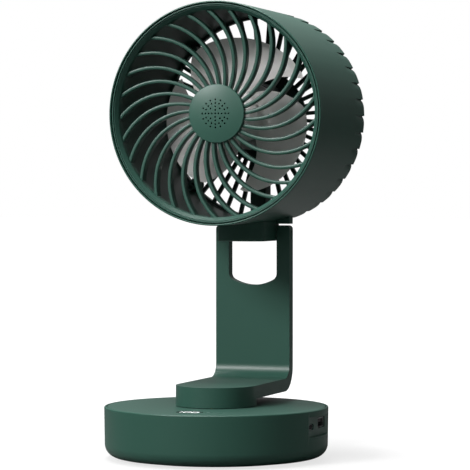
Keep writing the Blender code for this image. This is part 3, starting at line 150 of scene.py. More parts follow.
CAMERA_SIDE = math.radians(20.0)
CAMERA_PAN = math.radians(19.562)
CAMERA_DIP = math.radians(1.05)
CAMERA_REACH = 1.525
CAMERA_HEIGHT = 0.167
camera = bpy.data.cameras.new("camera")
camera.sensor_width = 36.0
camera.lens = 187.3
camera_holder = bpy.data.objects.new("camera", camera)
camera_holder.location = (
    CAMERA_REACH * math.sin(CAMERA_SIDE),
    -CAMERA_REACH * math.cos(CAMERA_SIDE),
    CAMERA_HEIGHT,
)
camera_aim = Vector((-math.sin(CAMERA_PAN), math.cos(CAMERA_PAN), -math.tan(CAMERA_DIP)))
camera_holder.rotation_euler = camera_aim.to_track_quat("-Z", "Y").to_euler()
bpy.context.scene.collection.objects.link(camera_holder)
bpy.context.scene.camera = camera_holder


# ---- Fine surface effects
# What every moulded or metal surface here shares: a fine grain that tilts the surface, slow
# unevenness in tone, edges rubbed lighter, and a little dust where a surface looks up.


def effect_group(name, inputs, outputs):
    group = bpy.data.node_groups.new(name, "ShaderNodeTree")
    for label, kind, value in inputs:
        socket = group.interface.new_socket(label, in_out="INPUT", socket_type=kind)
        if value is not None:
            socket.default_value = value
    for label, kind in outputs:
        group.interface.new_socket(label, in_out="OUTPUT", socket_type=kind)
    return group, group.nodes.new("NodeGroupInput"), group.nodes.new("NodeGroupOutput")


FLOAT = "NodeSocketFloat"
grain_group, grain_in, grain_out = effect_group(
    "moulded_grain",
    [("Grain", FLOAT, 1.0), ("Size", FLOAT, 1.0)],
    [("Normal", "NodeSocketVector"), ("Uneven", FLOAT), ("Fine", FLOAT)],
)
nodes, links = grain_group.nodes, grain_group.links
coordinates = nodes.new("ShaderNodeTexCoord")
fine_scale = nodes.new("ShaderNodeMath")
fine_scale.operation = "DIVIDE"
fine_scale.inputs[0].default_value = 2600.0
fine = nodes.new("ShaderNodeTexNoise")
fine.inputs["Detail"].default_value = 2.0
slow = nodes.new("ShaderNodeTexNoise")
slow.inputs["Scale"].default_value = 16.0
slow.inputs["Detail"].default_value = 3.0
bump = nodes.new("ShaderNodeBump")
bump.inputs["Distance"].default_value = 0.00005
links.new(grain_in.outputs["Size"], fine_scale.inputs[1])
links.new(fine_scale.outputs["Value"], fine.inputs["Scale"])
links.new(coordinates.outputs["Object"], fine.inputs["Vector"])
links.new(coordinates.outputs["Object"], slow.inputs["Vector"])
links.new(grain_in.outputs["Grain"], bump.inputs["Strength"])
links.new(fine.outputs["Fac"], bump.inputs["Height"])
links.new(bump.outputs["Normal"], grain_out.inputs["Normal"])
links.new(slow.outputs["Fac"], grain_out.inputs["Uneven"])
links.new(fine.outputs["Fac"], grain_out.inputs["Fine"])

wear_group, wear_in, wear_out = effect_group(
    "rubbed_edges", [("Radius", FLOAT, 0.0004)], [("Edge", FLOAT), ("Dust", FLOAT)]
)
nodes, links = wear_group.nodes, wear_group.links
rounded = nodes.new("ShaderNodeBevel")
rounded.samples = 4
surface = nodes.new("ShaderNodeNewGeometry")
facing = nodes.new("ShaderNodeVectorMath")
facing.operation = "DOT_PRODUCT"
edge = nodes.new("ShaderNodeMapRange")
edge.inputs["From Min"].default_value = 0.995
edge.inputs["From Max"].default_value = 0.86
patches = nodes.new("ShaderNodeTexNoise")
patches.inputs["Scale"].default_value = 240.0
patchy = nodes.new("ShaderNodeMath")
patchy.operation = "MULTIPLY"
upward = nodes.new("ShaderNodeSeparateXYZ")
dust = nodes.new("ShaderNodeMapRange")
dust.inputs["From Min"].default_value = 0.75
dust.inputs["From Max"].default_value = 1.0
specks = nodes.new("ShaderNodeTexNoise")
specks.inputs["Scale"].default_value = 900.0
specks.inputs["Detail"].default_value = 4.0
speckled = nodes.new("ShaderNodeMath")
speckled.operation = "MULTIPLY"
place = nodes.new("ShaderNodeTexCoord")
links.new(wear_in.outputs["Radius"], rounded.inputs["Radius"])
links.new(rounded.outputs["Normal"], facing.inputs[0])
links.new(surface.outputs["Normal"], facing.inputs[1])
links.new(facing.outputs["Value"], edge.inputs["Value"])
links.new(place.outputs["Object"], patches.inputs["Vector"])
links.new(place.outputs["Object"], specks.inputs["Vector"])
links.new(edge.outputs["Result"], patchy.inputs[0])
links.new(patches.outputs["Fac"], patchy.inputs[1])
links.new(patchy.outputs["Value"], wear_out.inputs["Edge"])
links.new(surface.outputs["Normal"], upward.inputs["Vector"])
links.new(upward.outputs["Z"], dust.inputs["Value"])
links.new(dust.outputs["Result"], speckled.inputs[0])
links.new(specks.outputs["Fac"], speckled.inputs[1])
links.new(speckled.outputs["Value"], wear_out.inputs["Dust"])


def moulded(name, colour, rough=0.42, grain=0.35, grain_size=1.0, metallic=0.0, specular=0.30, worn=0.35):
    """A finish for one piece: its own Principled shader, driven by the shared effects."""
    material = bpy.data.materials.new(name)
    material.use_nodes = True
    nodes, links = material.node_tree.nodes, material.node_tree.links
    shader = nodes["Principled BSDF"]
    shader.inputs["Metallic"].default_value = metallic
    shader.inputs["Specular IOR Level"].default_value = specular
    grain_node = nodes.new("ShaderNodeGroup")
    grain_node.node_tree = grain_group
    grain_node.inputs["Grain"].default_value = grain
    grain_node.inputs["Size"].default_value = grain_size
    wear_node = nodes.new("ShaderNodeGroup")
    wear_node.node_tree = wear_group
    tone = nodes.new("ShaderNodeMix")
    tone.data_type = "RGBA"
    tone.inputs["A"].default_value = (*[c * 0.94 for c in colour], 1.0)
    tone.inputs["B"].default_value = (*[c * 1.06 for c in colour], 1.0)
    rubbed = nodes.new("ShaderNodeMix")
    rubbed.data_type = "RGBA"
    rubbed.inputs["B"].default_value = (*[min(1.0, c * 1.6 + 0.012) for c in colour], 1.0)
    edge_share = nodes.new("ShaderNodeMath")
    edge_share.operation = "MULTIPLY"
    edge_share.inputs[1].default_value = worn
    dusty = nodes.new("ShaderNodeMix")
    dusty.data_type = "RGBA"
    dusty.inputs["B"].default_value = (0.35, 0.36, 0.35, 1.0)
    dust_share = nodes.new("ShaderNodeMath")
    dust_share.operation = "MULTIPLY"
    dust_share.inputs[1].default_value = 0.035
    gloss = nodes.new("ShaderNodeMapRange")
    gloss.inputs["To Min"].default_value = rough - 0.04
    gloss.inputs["To Max"].default_value = rough + 0.05
    links.new(grain_node.outputs["Uneven"], tone.inputs["Factor"])
    links.new(tone.outputs["Result"], rubbed.inputs["A"])
    links.new(wear_node.outputs["Edge"], edge_share.inputs[0])
    links.new(edge_share.outputs["Value"], rubbed.inputs["Factor"])
    links.new(rubbed.outputs["Result"], dusty.inputs["A"])
    links.new(wear_node.outputs["Dust"], dust_share.inputs[0])
    links.new(dust_share.outputs["Value"], dusty.inputs["Factor"])
    links.new(dusty.outputs["Result"], shader.inputs["Base Color"])
    links.new(grain_node.outputs["Fine"], gloss.inputs["Value"])
    links.new(gloss.outputs["Result"], shader.inputs["Roughness"])
    links.new(grain_node.outputs["Normal"], shader.inputs["Normal"])
    return material


# ---- Non-slip pad
# A soft black rubber disc, glued into a shallow recess under the base. Its face has moulded rings
# that grip the desk.


def rounded_outline(corners, closed=True, steps=5):
    """A polyline with filleted corners, from (a, b, fillet radius) points."""
    points = []
    count = len(corners)
    for i, (a, b, radius) in enumerate(corners):
        here = Vector((a, b))
        if radius <= 0.0 or (not closed and i in (0, count - 1)):
            points.append(here)
            continue
        before = Vector(corners[i - 1][:2]) - here
        after = Vector(corners[(i + 1) % count][:2]) - here
        before.normalize()
        after.normalize()
        half = before.angle(after) / 2
        reach = radius / math.tan(half)
        middle = here + (before + after).normalized() * radius / math.sin(half)
        first = here + before * reach - middle
        last = here + after * reach - middle
        sweep = math.atan2(first.x * last.y - first.y * last.x, first.dot(last))
        for step in range(steps + 1):
            turn = Matrix.Rotation(sweep * step / steps, 2)
            points.append(middle + turn @ first)
    return points


def linked(name, mesh):
    piece = bpy.data.objects.new(name, mesh)
    bpy.context.scene.collection.objects.link(piece)
    return piece


def surface_mesh(name, points, faces, crease=35.0):
    mesh = bpy.data.meshes.new(name)
    mesh.from_pydata([tuple(p) for p in points], [], faces)
    edit = bmesh.new()
    edit.from_mesh(mesh)
    bmesh.ops.remove_doubles(edit, verts=edit.verts, dist=1e-7)
    bmesh.ops.recalc_face_normals(edit, faces=edit.faces)
    edit.to_mesh(mesh)
    edit.free()
    mesh.shade_smooth()
    mesh.set_sharp_from_angle(angle=math.radians(crease))
    return mesh


def lathe(name, corners, sides=144, axis="Z", centre=(0.0, 0.0), closed=True, steps=5, crease=35.0):
    """A turned solid from (radius, height, fillet) corners, round an axis through centre."""
    outline = rounded_outline(corners, closed, steps)
    points = []
    rows = []
    for radius, height in outline:
        row = []
        for k in range(sides if radius > 1e-7 else 1):
            angle = 2 * math.pi * k / sides
            a = centre[0] + radius * math.cos(angle)
            b = centre[1] + radius * math.sin(angle)
            row.append(len(points))
            points.append({"X": (height, a, b), "Y": (a, height, b), "Z": (a, b, height)}[axis])
        rows.append(row if len(row) > 1 else row * sides)
    if closed:
        rows.append(rows[0])
    faces = []
    for lower, upper in zip(rows, rows[1:]):
        for k in range(sides):
            ahead = (k + 1) % sides
            face = tuple(dict.fromkeys((lower[k], lower[ahead], upper[ahead], upper[k])))
            if len(face) > 2:
                faces.append(face)
    return linked(name, surface_mesh(name, points, faces, crease))


def coated(piece, finish):
    """Gives a piece one finish, in place of any it has."""
    piece.data.materials.clear()
    piece.data.materials.append(finish)


pad_corners = [(0.0, 0.0, 0)]
for ring in range(8, 52, 4):
    pad_corners += [
        ((ring - 1.0) * MM, 0.0, 0.1 * MM),
        ((ring - 0.7) * MM, 0.35 * MM, 0.1 * MM),
        ((ring + 0.7) * MM, 0.35 * MM, 0.1 * MM),
        ((ring + 1.0) * MM, 0.0, 0.1 * MM),
    ]
pad_corners += [(54.0 * MM, 0.0, 0.5 * MM), (54.0 * MM, 1.7 * MM, 0.2 * MM), (0.0, 1.7 * MM, 0)]
pad = lathe("rubber_pad", pad_corners, closed=False, steps=2)
coated(pad, moulded("pad_rubber", (0.018, 0.018, 0.019), rough=0.75, grain=0.6, specular=0.3))
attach(pad, "base")
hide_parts("non_slip_pad")


# ---- Base cup
# One deep moulding in satin dark green plastic: a rounded foot, a nearly straight wall, a fine rim
# round the lid, and a flat port panel sunk into its right side.


def prism(name, outline, low, high, axis="Z", crease=35.0):
    """A flat outline across an axis, extruded from low to high."""
    count = len(outline)
    points = []
    for height in (low, high):
        for a, b in outline:
            points.append({"X": (height, a, b), "Y": (a, height, b), "Z": (a, b, height)}[axis])
    faces = [tuple(range(count)), tuple(range(count, 2 * count))]
    faces += [(i, (i + 1) % count, count + (i + 1) % count, count + i) for i in range(count)]
    return linked(name, surface_mesh(name, points, faces, crease))


def shaped(piece, *steps):
    """Cuts, joins or keeps the common part with each (operation, tool) in turn, for good."""
    for operation, tool in steps:
        modifier = piece.modifiers.new(tool.name, "BOOLEAN")
        modifier.operation = operation
        modifier.object = tool
        modifier.solver = "EXACT"
        graph = bpy.context.evaluated_depsgraph_get()
        result = bpy.data.meshes.new_from_object(piece.evaluated_get(graph))
        piece.modifiers.clear()
        spent = piece.data
        piece.data = result
        bpy.data.meshes.remove(spent)
    for tool in {step[1] for step in steps}:
        bpy.data.objects.remove(tool, do_unlink=True)
    return piece


def eased(piece, width, chosen, segments=3, crease=35.0):
    """Rounds the sharp edges for which chosen(edge middle, edge direction) holds."""
    edit = bmesh.new()
    edit.from_mesh(piece.data)
    bmesh.ops.remove_doubles(edit, verts=edit.verts, dist=2e-6)
    bmesh.ops.dissolve_limit(edit, angle_limit=math.radians(0.5), verts=edit.verts, edges=edit.edges)
    edges = []
    for e in edit.edges:
        if len(e.link_faces) != 2 or e.calc_face_angle(0.0) < math.radians(30):
            continue
        a, b = (v.co for v in e.verts)
        if chosen((a + b) / 2, (b - a).normalized()):
            edges.append(e)
    bmesh.ops.bevel(
        edit, geom=edges, offset=width, segments=segments, affect="EDGES", profile=0.5, clamp_overlap=True
    )
    edit.to_mesh(piece.data)
    edit.free()
    piece.data.shade_smooth()
    piece.data.set_sharp_from_angle(angle=math.radians(crease))
    return piece


GREEN = (0.0185, 0.0640, 0.0465)
cup_corners = [
    (0.0, 2.0 * MM, 0),
    (54.3 * MM, 2.0 * MM, 0.2 * MM),
    (54.3 * MM, 1.2 * MM, 0.2 * MM),
    (69.5 * MM, 1.2 * MM, 8.0 * MM),
    (70.0 * MM, 32.5 * MM, 0.8 * MM),
    (68.5 * MM, 32.5 * MM, 0.3 * MM),
    (68.5 * MM, 30.0 * MM, 0),
    (67.2 * MM, 30.0 * MM, 0.2 * MM),
    (67.0 * MM, 4.4 * MM, 5.6 * MM),
    (0.0, 4.4 * MM, 0),
]
cup = lathe("base_cup", cup_corners, sides=256, closed=False, steps=10)
PANEL_X = 64.8 * MM
PANEL_HALF = 21.5 * MM
PANEL_RADIUS = 68.3 * MM
half_angle = math.atan2(PANEL_HALF, PANEL_X)
panel_arc = [
    (PANEL_RADIUS * math.cos(a), PANEL_RADIUS * math.sin(a))
    for a in [half_angle * (k / 12 * 2 - 1) for k in range(13)]
]
panel = prism(
    "port_panel", [(PANEL_X, -PANEL_HALF), *panel_arc, (PANEL_X, PANEL_HALF)], 13 * MM, 29.9 * MM
)


def port_outline(width, height, y, bottom, corner):
    """A rectangle with rounded corners, centred on y, in millimetres."""
    half = width / 2 * MM
    return rounded_outline([
        (y * MM - half, bottom * MM, corner * MM),
        (y * MM + half, bottom * MM, corner * MM),
        (y * MM + half, (bottom + height) * MM, corner * MM),
        (y * MM - half, (bottom + height) * MM, corner * MM),
    ])


def plug(name, radius, low, high, centre=(0.0, 0.0), axis="Z", sides=64):
    """A plain round bar that bores a hole or a hollow."""
    corners = [(0, low, 0), (radius, low, 0), (radius, high, 0), (0, high, 0)]
    return lathe(name, corners, sides, axis, centre, closed=False)


SOCKET_A_Y = 5.0
SOCKET_C_Y = -14.8
SCREW_PLACES = [(x * MM, y * MM) for x in (-33.0, 33.0) for y in (-37.5, 37.5)]
recess = prism("port_recess", port_outline(60.0, 12.6, 0.0, 16.2, 0.8), 67 * MM, 75 * MM, "X")
opening_a = prism("usb_a_opening", port_outline(13.8, 6.4, SOCKET_A_Y, 20.6, 0.6), 60 * MM, 70 * MM, "X")
opening_c = prism("usb_c_opening", port_outline(9.5, 3.8, SOCKET_C_Y, 20.6, 1.85), 60 * MM, 70 * MM, "X")
shaped(cup, ("UNION", panel), ("DIFFERENCE", recess), ("DIFFERENCE", opening_a), ("DIFFERENCE", opening_c))
for spot in SCREW_PLACES:
    shaped(cup, ("DIFFERENCE", plug("screw_well", 3.0 * MM, -1.0 * MM, 4.2 * MM, spot, sides=32)))
cup.data.shade_smooth()
cup.data.set_sharp_from_angle(angle=math.radians(35))
coated(cup, moulded("base_plastic", GREEN, rough=0.40))
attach(cup, "base")
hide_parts("base_lower_shell")


# ---- Base lid
# A flat disc set flush inside the cup's rim, in the same plastic, held by screws from below. It has
# holes for the arm's bushing, the display and the two keys.

lid = lathe(
    "base_lid",
    [
        (12.1 * MM, 30.3 * MM, 0),
        (68.2 * MM, 30.3 * MM, 0.2 * MM),
        (68.2 * MM, 32.5 * MM, 0.5 * MM),
        (12.1 * MM, 32.5 * MM, 0.3 * MM),
    ],
    sides=256,
    steps=4,
)


DISPLAY = (0.0, -47.4 * MM)
KEY_PLACES = {"power_key": (12.6 * MM, -47.4 * MM), "swing_key": (19.0 * MM, -47.4 * MM)}
shaped(lid, ("DIFFERENCE", plug("display_hole", 8.4 * MM, 29 * MM, 34 * MM, DISPLAY)))
for key_name, spot in KEY_PLACES.items():
    shaped(lid, ("DIFFERENCE", plug(f"{key_name}_hole", 2.4 * MM, 29 * MM, 34 * MM, spot, sides=32)))
eased(lid, 0.25 * MM, lambda p, d: p.z > 32.4 * MM and p.y < -38 * MM and math.hypot(p.x, p.y) < 60 * MM, 2)
coated(lid, moulded("lid_plastic", (0.0215, 0.0670, 0.0500), rough=0.38))
for x, y in SCREW_PLACES:
    post = lathe(
        f"lid_post_{'left' if x < 0 else 'right'}_{'front' if y < 0 else 'back'}",
        [
            (1.5 * MM, 8.0 * MM, 0.1 * MM),
            (3.0 * MM, 8.0 * MM, 0.3 * MM),
            (3.2 * MM, 30.4 * MM, 0),
            (1.5 * MM, 30.4 * MM, 0),
        ],
        32,
        centre=(x, y),
    )
    coated(post, lid.data.materials[0])
    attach(post, "base")
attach(lid, "base")
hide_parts("base_top_cover")


# ---- Display
# A smoked round window, pressed into the lid over a dark module. The module's white segments
# shine through it and show a three-figure level.

lens = lathe(
    "display_lens",
    [
        (0, 30.9 * MM, 0),
        (8.1 * MM, 30.9 * MM, 0.1 * MM),
        (8.1 * MM, 32.4 * MM, 0.35 * MM),
        (0, 32.42 * MM, 0),
    ],
    96,
    centre=DISPLAY,
    closed=False,
)
coated(lens, moulded("smoked_lens", (0.010, 0.011, 0.011), rough=0.10, grain=0.02, specular=0.6, worn=0.1))
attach(lens, "base")
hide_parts("display_window")

lit = bpy.data.materials.new("lit_segment")
lit.use_nodes = True
lit_nodes = lit.node_tree.nodes
lit_links = lit.node_tree.links
lit_shader = lit_nodes["Principled BSDF"]
lit_shader.inputs["Base Color"].default_value = (0.75, 0.78, 0.78, 1.0)
lit_shader.inputs["Roughness"].default_value = 0.4
lit_shader.inputs["Emission Strength"].default_value = 0.9
lit_noise = lit_nodes.new("ShaderNodeTexNoise")
lit_noise.inputs["Scale"].default_value = 1500.0
lit_tone = lit_nodes.new("ShaderNodeMix")
lit_tone.data_type = "RGBA"
lit_tone.inputs["A"].default_value = (0.86, 0.92, 0.92, 1.0)
lit_tone.inputs["B"].default_value = (1.0, 1.0, 1.0, 1.0)
lit_links.new(lit_noise.outputs["Fac"], lit_tone.inputs["Factor"])
lit_links.new(lit_tone.outputs["Result"], lit_shader.inputs["Emission Color"])


def segment(points, faces, start, end, width):
    """A flat pointed bar of a digit, from one end to the other, just proud of the lens."""
    direction = (end - start).normalized()
    side = Vector((-direction.y, direction.x)) * width / 2
    nib = direction * width / 2
    ring = [start, start + nib + side, end - nib + side, end, end - nib - side, start + nib - side]
    first = len(points)
    for z in (32.40 * MM, 32.46 * MM):
        points.extend((p.x, p.y, z) for p in ring)
    faces.append(tuple(range(first + 5, first - 1, -1)))
    faces.append(tuple(range(first + 6, first + 12)))
    for i in range(6):
        j = (i + 1) % 6
        faces.append((first + i, first + j, first + 6 + j, first + 6 + i))


digit_points = []
digit_faces = []
DIGIT_WIDTH, DIGIT_HEIGHT, STROKE = 3.6 * MM, 5.6 * MM, 0.5 * MM
DIGIT_LEFTS = (-9.0 * MM, -3.3 * MM, 1.9 * MM)
SEGMENT_ENDS = {
    "a": ((0, 2), (1, 2)),
    "b": ((1, 1), (1, 2)),
    "c": ((1, 0), (1, 1)),
    "d": ((0, 0), (1, 0)),
    "e": ((0, 0), (0, 1)),
    "f": ((0, 1), (0, 2)),
}
for left, shown in zip(DIGIT_LEFTS, ("bc", "abcdef", "abcdef")):
    bottom = DISPLAY[1] - DIGIT_HEIGHT / 2
    for key in shown:
        start, end = (
            Vector((left + across * DIGIT_WIDTH, bottom + up * DIGIT_HEIGHT / 2))
            for across, up in SEGMENT_ENDS[key]
        )
        segment(digit_points, digit_faces, start, end, STROKE)
digits = linked("display_digits", surface_mesh("display_digits", digit_points, digit_faces))
coated(digits, lit)
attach(digits, "base")


# ---- Keys
# Two small round keys in a row beside the display, in the base's plastic. Each is dished on top
# and is held under the lid by its flange.

for key_name, spot in KEY_PLACES.items():
    key = lathe(
        key_name + "_cap",
        [
            (0, 28.6 * MM, 0),
            (2.9 * MM, 28.6 * MM, 0.1 * MM),
            (2.9 * MM, 29.5 * MM, 0.1 * MM),
            (2.1 * MM, 29.5 * MM, 0),
            (2.1 * MM, 32.7 * MM, 0.3 * MM),
            (1.2 * MM, 32.62 * MM, 0.3 * MM),
            (0, 32.56 * MM, 0),
        ],
        40,
        centre=spot,
        closed=False,
        steps=4,
    )
    coated(key, moulded(key_name + "_plastic", (0.024, 0.072, 0.055), rough=0.36))
    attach(key, key_name)
    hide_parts(key_name)


# ---- USB sockets
# Two steel sockets on the charging board, standing in the port panel's holes: a rectangular one
# with a black tongue, and a smaller round-ended one with its tongue in the middle.

steel_finish = moulded("socket_steel", (0.42, 0.43, 0.44), rough=0.30, grain=0.15, metallic=1.0, worn=0.2)
black_finish = moulded("socket_black", (0.012, 0.012, 0.013), rough=0.45, grain=0.2)
mouth_a = prism("usb_a_mouth", port_outline(12.3, 4.9, SOCKET_A_Y, 21.35, 0.25), 54.4 * MM, 70 * MM, "X")
socket_a = prism("usb_a_shell", port_outline(13.2, 5.8, SOCKET_A_Y, 20.9, 0.4), 52.4 * MM, 66.4 * MM, "X")
shaped(socket_a, ("DIFFERENCE", mouth_a))
eased(socket_a, 0.15 * MM, lambda p, d: p.x > 66.3 * MM, 2)
coated(socket_a, steel_finish)
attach(socket_a, "base")
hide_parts("usb_a_socket")
tongue_a = prism("usb_a_tongue", port_outline(10.6, 1.7, SOCKET_A_Y, 23.9, 0.15), 54.4 * MM, 65.6 * MM, "X")
eased(tongue_a, 0.25 * MM, lambda p, d: p.x > 65.5 * MM, 2)
coated(tongue_a, black_finish)
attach(tongue_a, "base")
for k in range(4):
    contact = prism(
        f"usb_a_contact_{k + 1}",
        port_outline(1.0, 0.22, SOCKET_A_Y + (k - 1.5) * 2.4, 23.72, 0.05),
        56.0 * MM,
        64.8 * MM,
        "X",
    )
    coated(contact, moulded(f"contact_gold_{k + 1}", (0.72, 0.50, 0.20), rough=0.25, grain=0.1, metallic=1.0))
    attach(contact, "base")
mouth_c = prism("usb_c_mouth", port_outline(8.3, 2.6, SOCKET_C_Y, 21.2, 1.28), 58.9 * MM, 70 * MM, "X")
socket_c = prism("usb_c_shell", port_outline(8.9, 3.2, SOCKET_C_Y, 20.9, 1.58), 57.4 * MM, 66.4 * MM, "X")
shaped(socket_c, ("DIFFERENCE", mouth_c))
eased(socket_c, 0.1 * MM, lambda p, d: p.x > 66.3 * MM, 2)
coated(socket_c, steel_finish)
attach(socket_c, "base")
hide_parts("usb_c_socket")
tongue_c = prism("usb_c_tongue", port_outline(6.4, 0.7, SOCKET_C_Y, 22.15, 0.2), 58.6 * MM, 65.6 * MM, "X")
eased(tongue_c, 0.15 * MM, lambda p, d: p.x > 65.5 * MM, 2)
coated(tongue_c, black_finish)
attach(tongue_c, "base")


# ---- Arm
# An L-shaped moulding in the base's plastic. Its round foot turns on the lid, its plate bends up
# behind the base, and a U-shaped window at the top leaves a fork for the head.

ARM_HALF = 25.3 * MM


def d_outline(half, front, back, steps=64):
    """A flat back and a half-round front, seen from above."""
    points = [(-half, back)]
    for k in range(steps + 1):
        angle = math.pi + math.pi * k / steps
        points.append((half * math.cos(angle), front + half + half * math.sin(angle)))
    points.append((half, back))
    return points


side_view = rounded_outline(
    [
        (-26.0 * MM, 37.3 * MM, 0),
        (76.0 * MM, 37.3 * MM, 15.5 * MM),
        (76.0 * MM, 144.2 * MM, 0),
        (69.0 * MM, 144.2 * MM, 0),
        (69.0 * MM, 45.5 * MM, 9.0 * MM),
        (-26.0 * MM, 45.5 * MM, 0),
    ],
    steps=24,
)
arm = prism("arm_moulding", side_view, -26.0 * MM, 26.0 * MM, "X")
shaped(arm, ("INTERSECT", prism("arm_plan", d_outline(ARM_HALF, -ARM_HALF, 80 * MM), 30 * MM, 150 * MM)))
boss_outline = [
    (ARM_HALF * math.cos(math.pi * k / 64), ARM_HALF * math.sin(math.pi * k / 64)) for k in range(128)
]
shaped(arm, ("UNION", prism("foot_boss", boss_outline, 32.9 * MM, 40.0 * MM)))


def bowed_end(low, grow, corner_steps=8, bow_steps=20):
    """A wide arc between two rounded corners, as the window's foot and the neck's front have."""
    radius = 30.0 * MM + grow
    corner = 4.5 * MM + grow
    corner_x = 11.9 * MM
    rise = math.sqrt((radius - corner) ** 2 - corner_x**2)
    lean = math.atan2(corner_x, rise)
    middle = low + radius
    points = []
    for centre_x, r, start, end, steps in (
        (-corner_x, corner, math.pi, 1.5 * math.pi - lean, corner_steps),
        (0.0, radius, -0.5 * math.pi - lean, -0.5 * math.pi + lean, bow_steps),
        (corner_x, corner, -0.5 * math.pi + lean, 0.0, corner_steps),
    ):
        centre_z = middle if centre_x == 0.0 else middle - rise
        first = 0 if centre_x else 1
        last = steps if centre_x else steps - 1
        for k in range(first, last + 1):
            angle = start + (end - start) * k / steps
            points.append((centre_x + r * math.cos(angle), centre_z + r * math.sin(angle)))
    return points


def window_outline(grow):
    half = 16.4 * MM + grow
    return bowed_end(105.47 * MM - grow, grow) + [(half, 155 * MM), (-half, 155 * MM)]


shaped(arm, ("DIFFERENCE", prism("arm_window", window_outline(0.0), 60 * MM, 90 * MM, "Y")))
eased(arm, 2.4 * MM, lambda p, d: p.z > 144.1 * MM and abs(p.x) > 25.2 * MM and abs(d.y) > 0.9, 6)
channel_view = rounded_outline(
    [
        (26.6 * MM, 30.0 * MM, 0),
        (84.0 * MM, 30.0 * MM, 0),
        (84.0 * MM, 141.6 * MM, 0),
        (71.0 * MM, 141.6 * MM, 0),
        (71.0 * MM, 43.5 * MM, 11.0 * MM),
        (26.6 * MM, 43.5 * MM, 0),
    ],
    steps=16,
)
channel = prism("wire_channel", channel_view, -23.0 * MM, 23.0 * MM, "X")
shaped(channel, ("DIFFERENCE", prism("window_wall", window_outline(2.3 * MM), 55 * MM, 95 * MM, "Y")))
hollow = plug("foot_hollow", 22.5 * MM, 30 * MM, 42.5 * MM, sides=128)
shaped(arm, ("DIFFERENCE", channel), ("DIFFERENCE", hollow))
HINGE = (72.4 * MM, 138 * MM)
for low, high in ((-26.5 * MM, -22.5 * MM), (22.5 * MM, 26.5 * MM)):
    shaped(arm, ("DIFFERENCE", plug("cap_hole", 2.9 * MM, low, high, HINGE, "X", 48)))
eased(
    arm,
    0.55 * MM,
    lambda p, d: (
        p.z > 45.0 * MM
        and (p.y < 69.6 * MM or p.z > 144.0 * MM or p.y > 75.9 * MM)
        and not (abs(p.x) < 23.4 * MM and p.y > 70.5 * MM and p.z < 144.0 * MM)
    ),
)
arm_finish = moulded("arm_plastic", (0.0215, 0.0665, 0.0495), rough=0.36)
coated(arm, arm_finish)
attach(arm, "arm")
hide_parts("arm_front_shell")


# ---- Arm back cover
# A thin strip of the same plastic, clipped over the wire channel. It runs down the arm's back and
# forward under its plate.

cover_view = rounded_outline(
    [
        (26.9 * MM, 37.3 * MM, 0),
        (76.0 * MM, 37.3 * MM, 15.5 * MM),
        (76.0 * MM, 141.3 * MM, 0),
        (74.5 * MM, 141.3 * MM, 0),
        (74.5 * MM, 38.8 * MM, 14.0 * MM),
        (26.9 * MM, 38.8 * MM, 0),
    ],
    steps=24,
)
back_cover = prism("arm_back_cover", cover_view, -22.7 * MM, 22.7 * MM, "X")
shaped(back_cover, ("DIFFERENCE", prism("cover_window", window_outline(2.6 * MM), 55 * MM, 95 * MM, "Y")))
eased(back_cover, 0.3 * MM, lambda p, d: p.y > 75.9 * MM or (p.z < 37.4 * MM), 2)
coated(back_cover, moulded("cover_plastic", (0.0195, 0.0620, 0.0460), rough=0.44, grain=0.5))
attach(back_cover, "arm")
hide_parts("arm_rear_cover")


# ---- Hinge caps
# Small domed plugs in the arm's plastic, pushed into its sides to hide the ends of the hinge pin.
# They keep the pin from sliding out.

for side, word in ((-1, "left"), (1, "right")):
    cap = lathe(
        f"hinge_plug_{word}",
        [
            (0, side * 22.9 * MM, 0),
            (2.6 * MM, side * 22.9 * MM, 0),
            (2.6 * MM, side * 25.0 * MM, 0.25 * MM),
            (0, side * 25.2 * MM, 0),
        ],
        48,
        "X",
        HINGE,
        closed=False,
        steps=3,
    )
    coated(cap, moulded(f"hinge_plug_plastic_{word}", GREEN, rough=0.45))
    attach(cap, "arm")
    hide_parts(f"hinge_cap_{word}")


# ---- Neck
# A half-round block that hangs in the fork on the hinge pin, under a cross bar that carries the
# arm's outline up to the drum. Both are cut to the drum's round.

HEAD_Z = 214.8 * MM
HEAD_AXIS = (0.0, HEAD_Z)
neck_half = 15.7 * MM
neck_plan = bowed_end(40.8 * MM, -0.7 * MM) + [(neck_half, 76.0 * MM), (-neck_half, 76.0 * MM)]
neck = prism("neck_block", neck_plan, 134.2 * MM, 158 * MM)
bar = prism(
    "cross_bar",
    [(-ARM_HALF, 69.0 * MM), (ARM_HALF, 69.0 * MM), (ARM_HALF, 76.0 * MM), (-ARM_HALF, 76.0 * MM)],
    145.2 * MM,
    158 * MM,
)


def drum_radius(y):
    return (70.0 - 0.8 * (y / MM + 5.5) / 97.5) * MM


saddle = lathe(
    "drum_round",
    [
        (0, -6 * MM, 0),
        (drum_radius(-6 * MM) + 0.15 * MM, -6 * MM, 0),
        (drum_radius(95 * MM) + 0.15 * MM, 95 * MM, 0),
        (0, 95 * MM, 0),
    ],
    256,
    "Y",
    HEAD_AXIS,
    closed=False,
)
pin_bore = plug("pin_bore", 2.05 * MM, -20 * MM, 20 * MM, HINGE, "X", 32)
shaped(neck, ("UNION", bar), ("DIFFERENCE", saddle), ("DIFFERENCE", pin_bore))
eased(neck, 0.8 * MM, lambda p, d: p.z < 134.3 * MM)
eased(
    neck,
    0.45 * MM,
    lambda p, d: (p.z < 147.2 * MM and abs(p.x) > 15.9 * MM) or (abs(p.x) > 25.0 * MM and abs(d.z) > 0.8),
    2,
)
coated(neck, moulded("neck_plastic", GREEN, rough=0.40))
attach(neck, "head")
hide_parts("neck_bracket")


# ---- Drum
# The head's round casing, in satin dark green plastic: a thin lip round the grille, a nearly
# straight wall, and at the back forty shallow ratchet-like flutes that deepen to the edge.

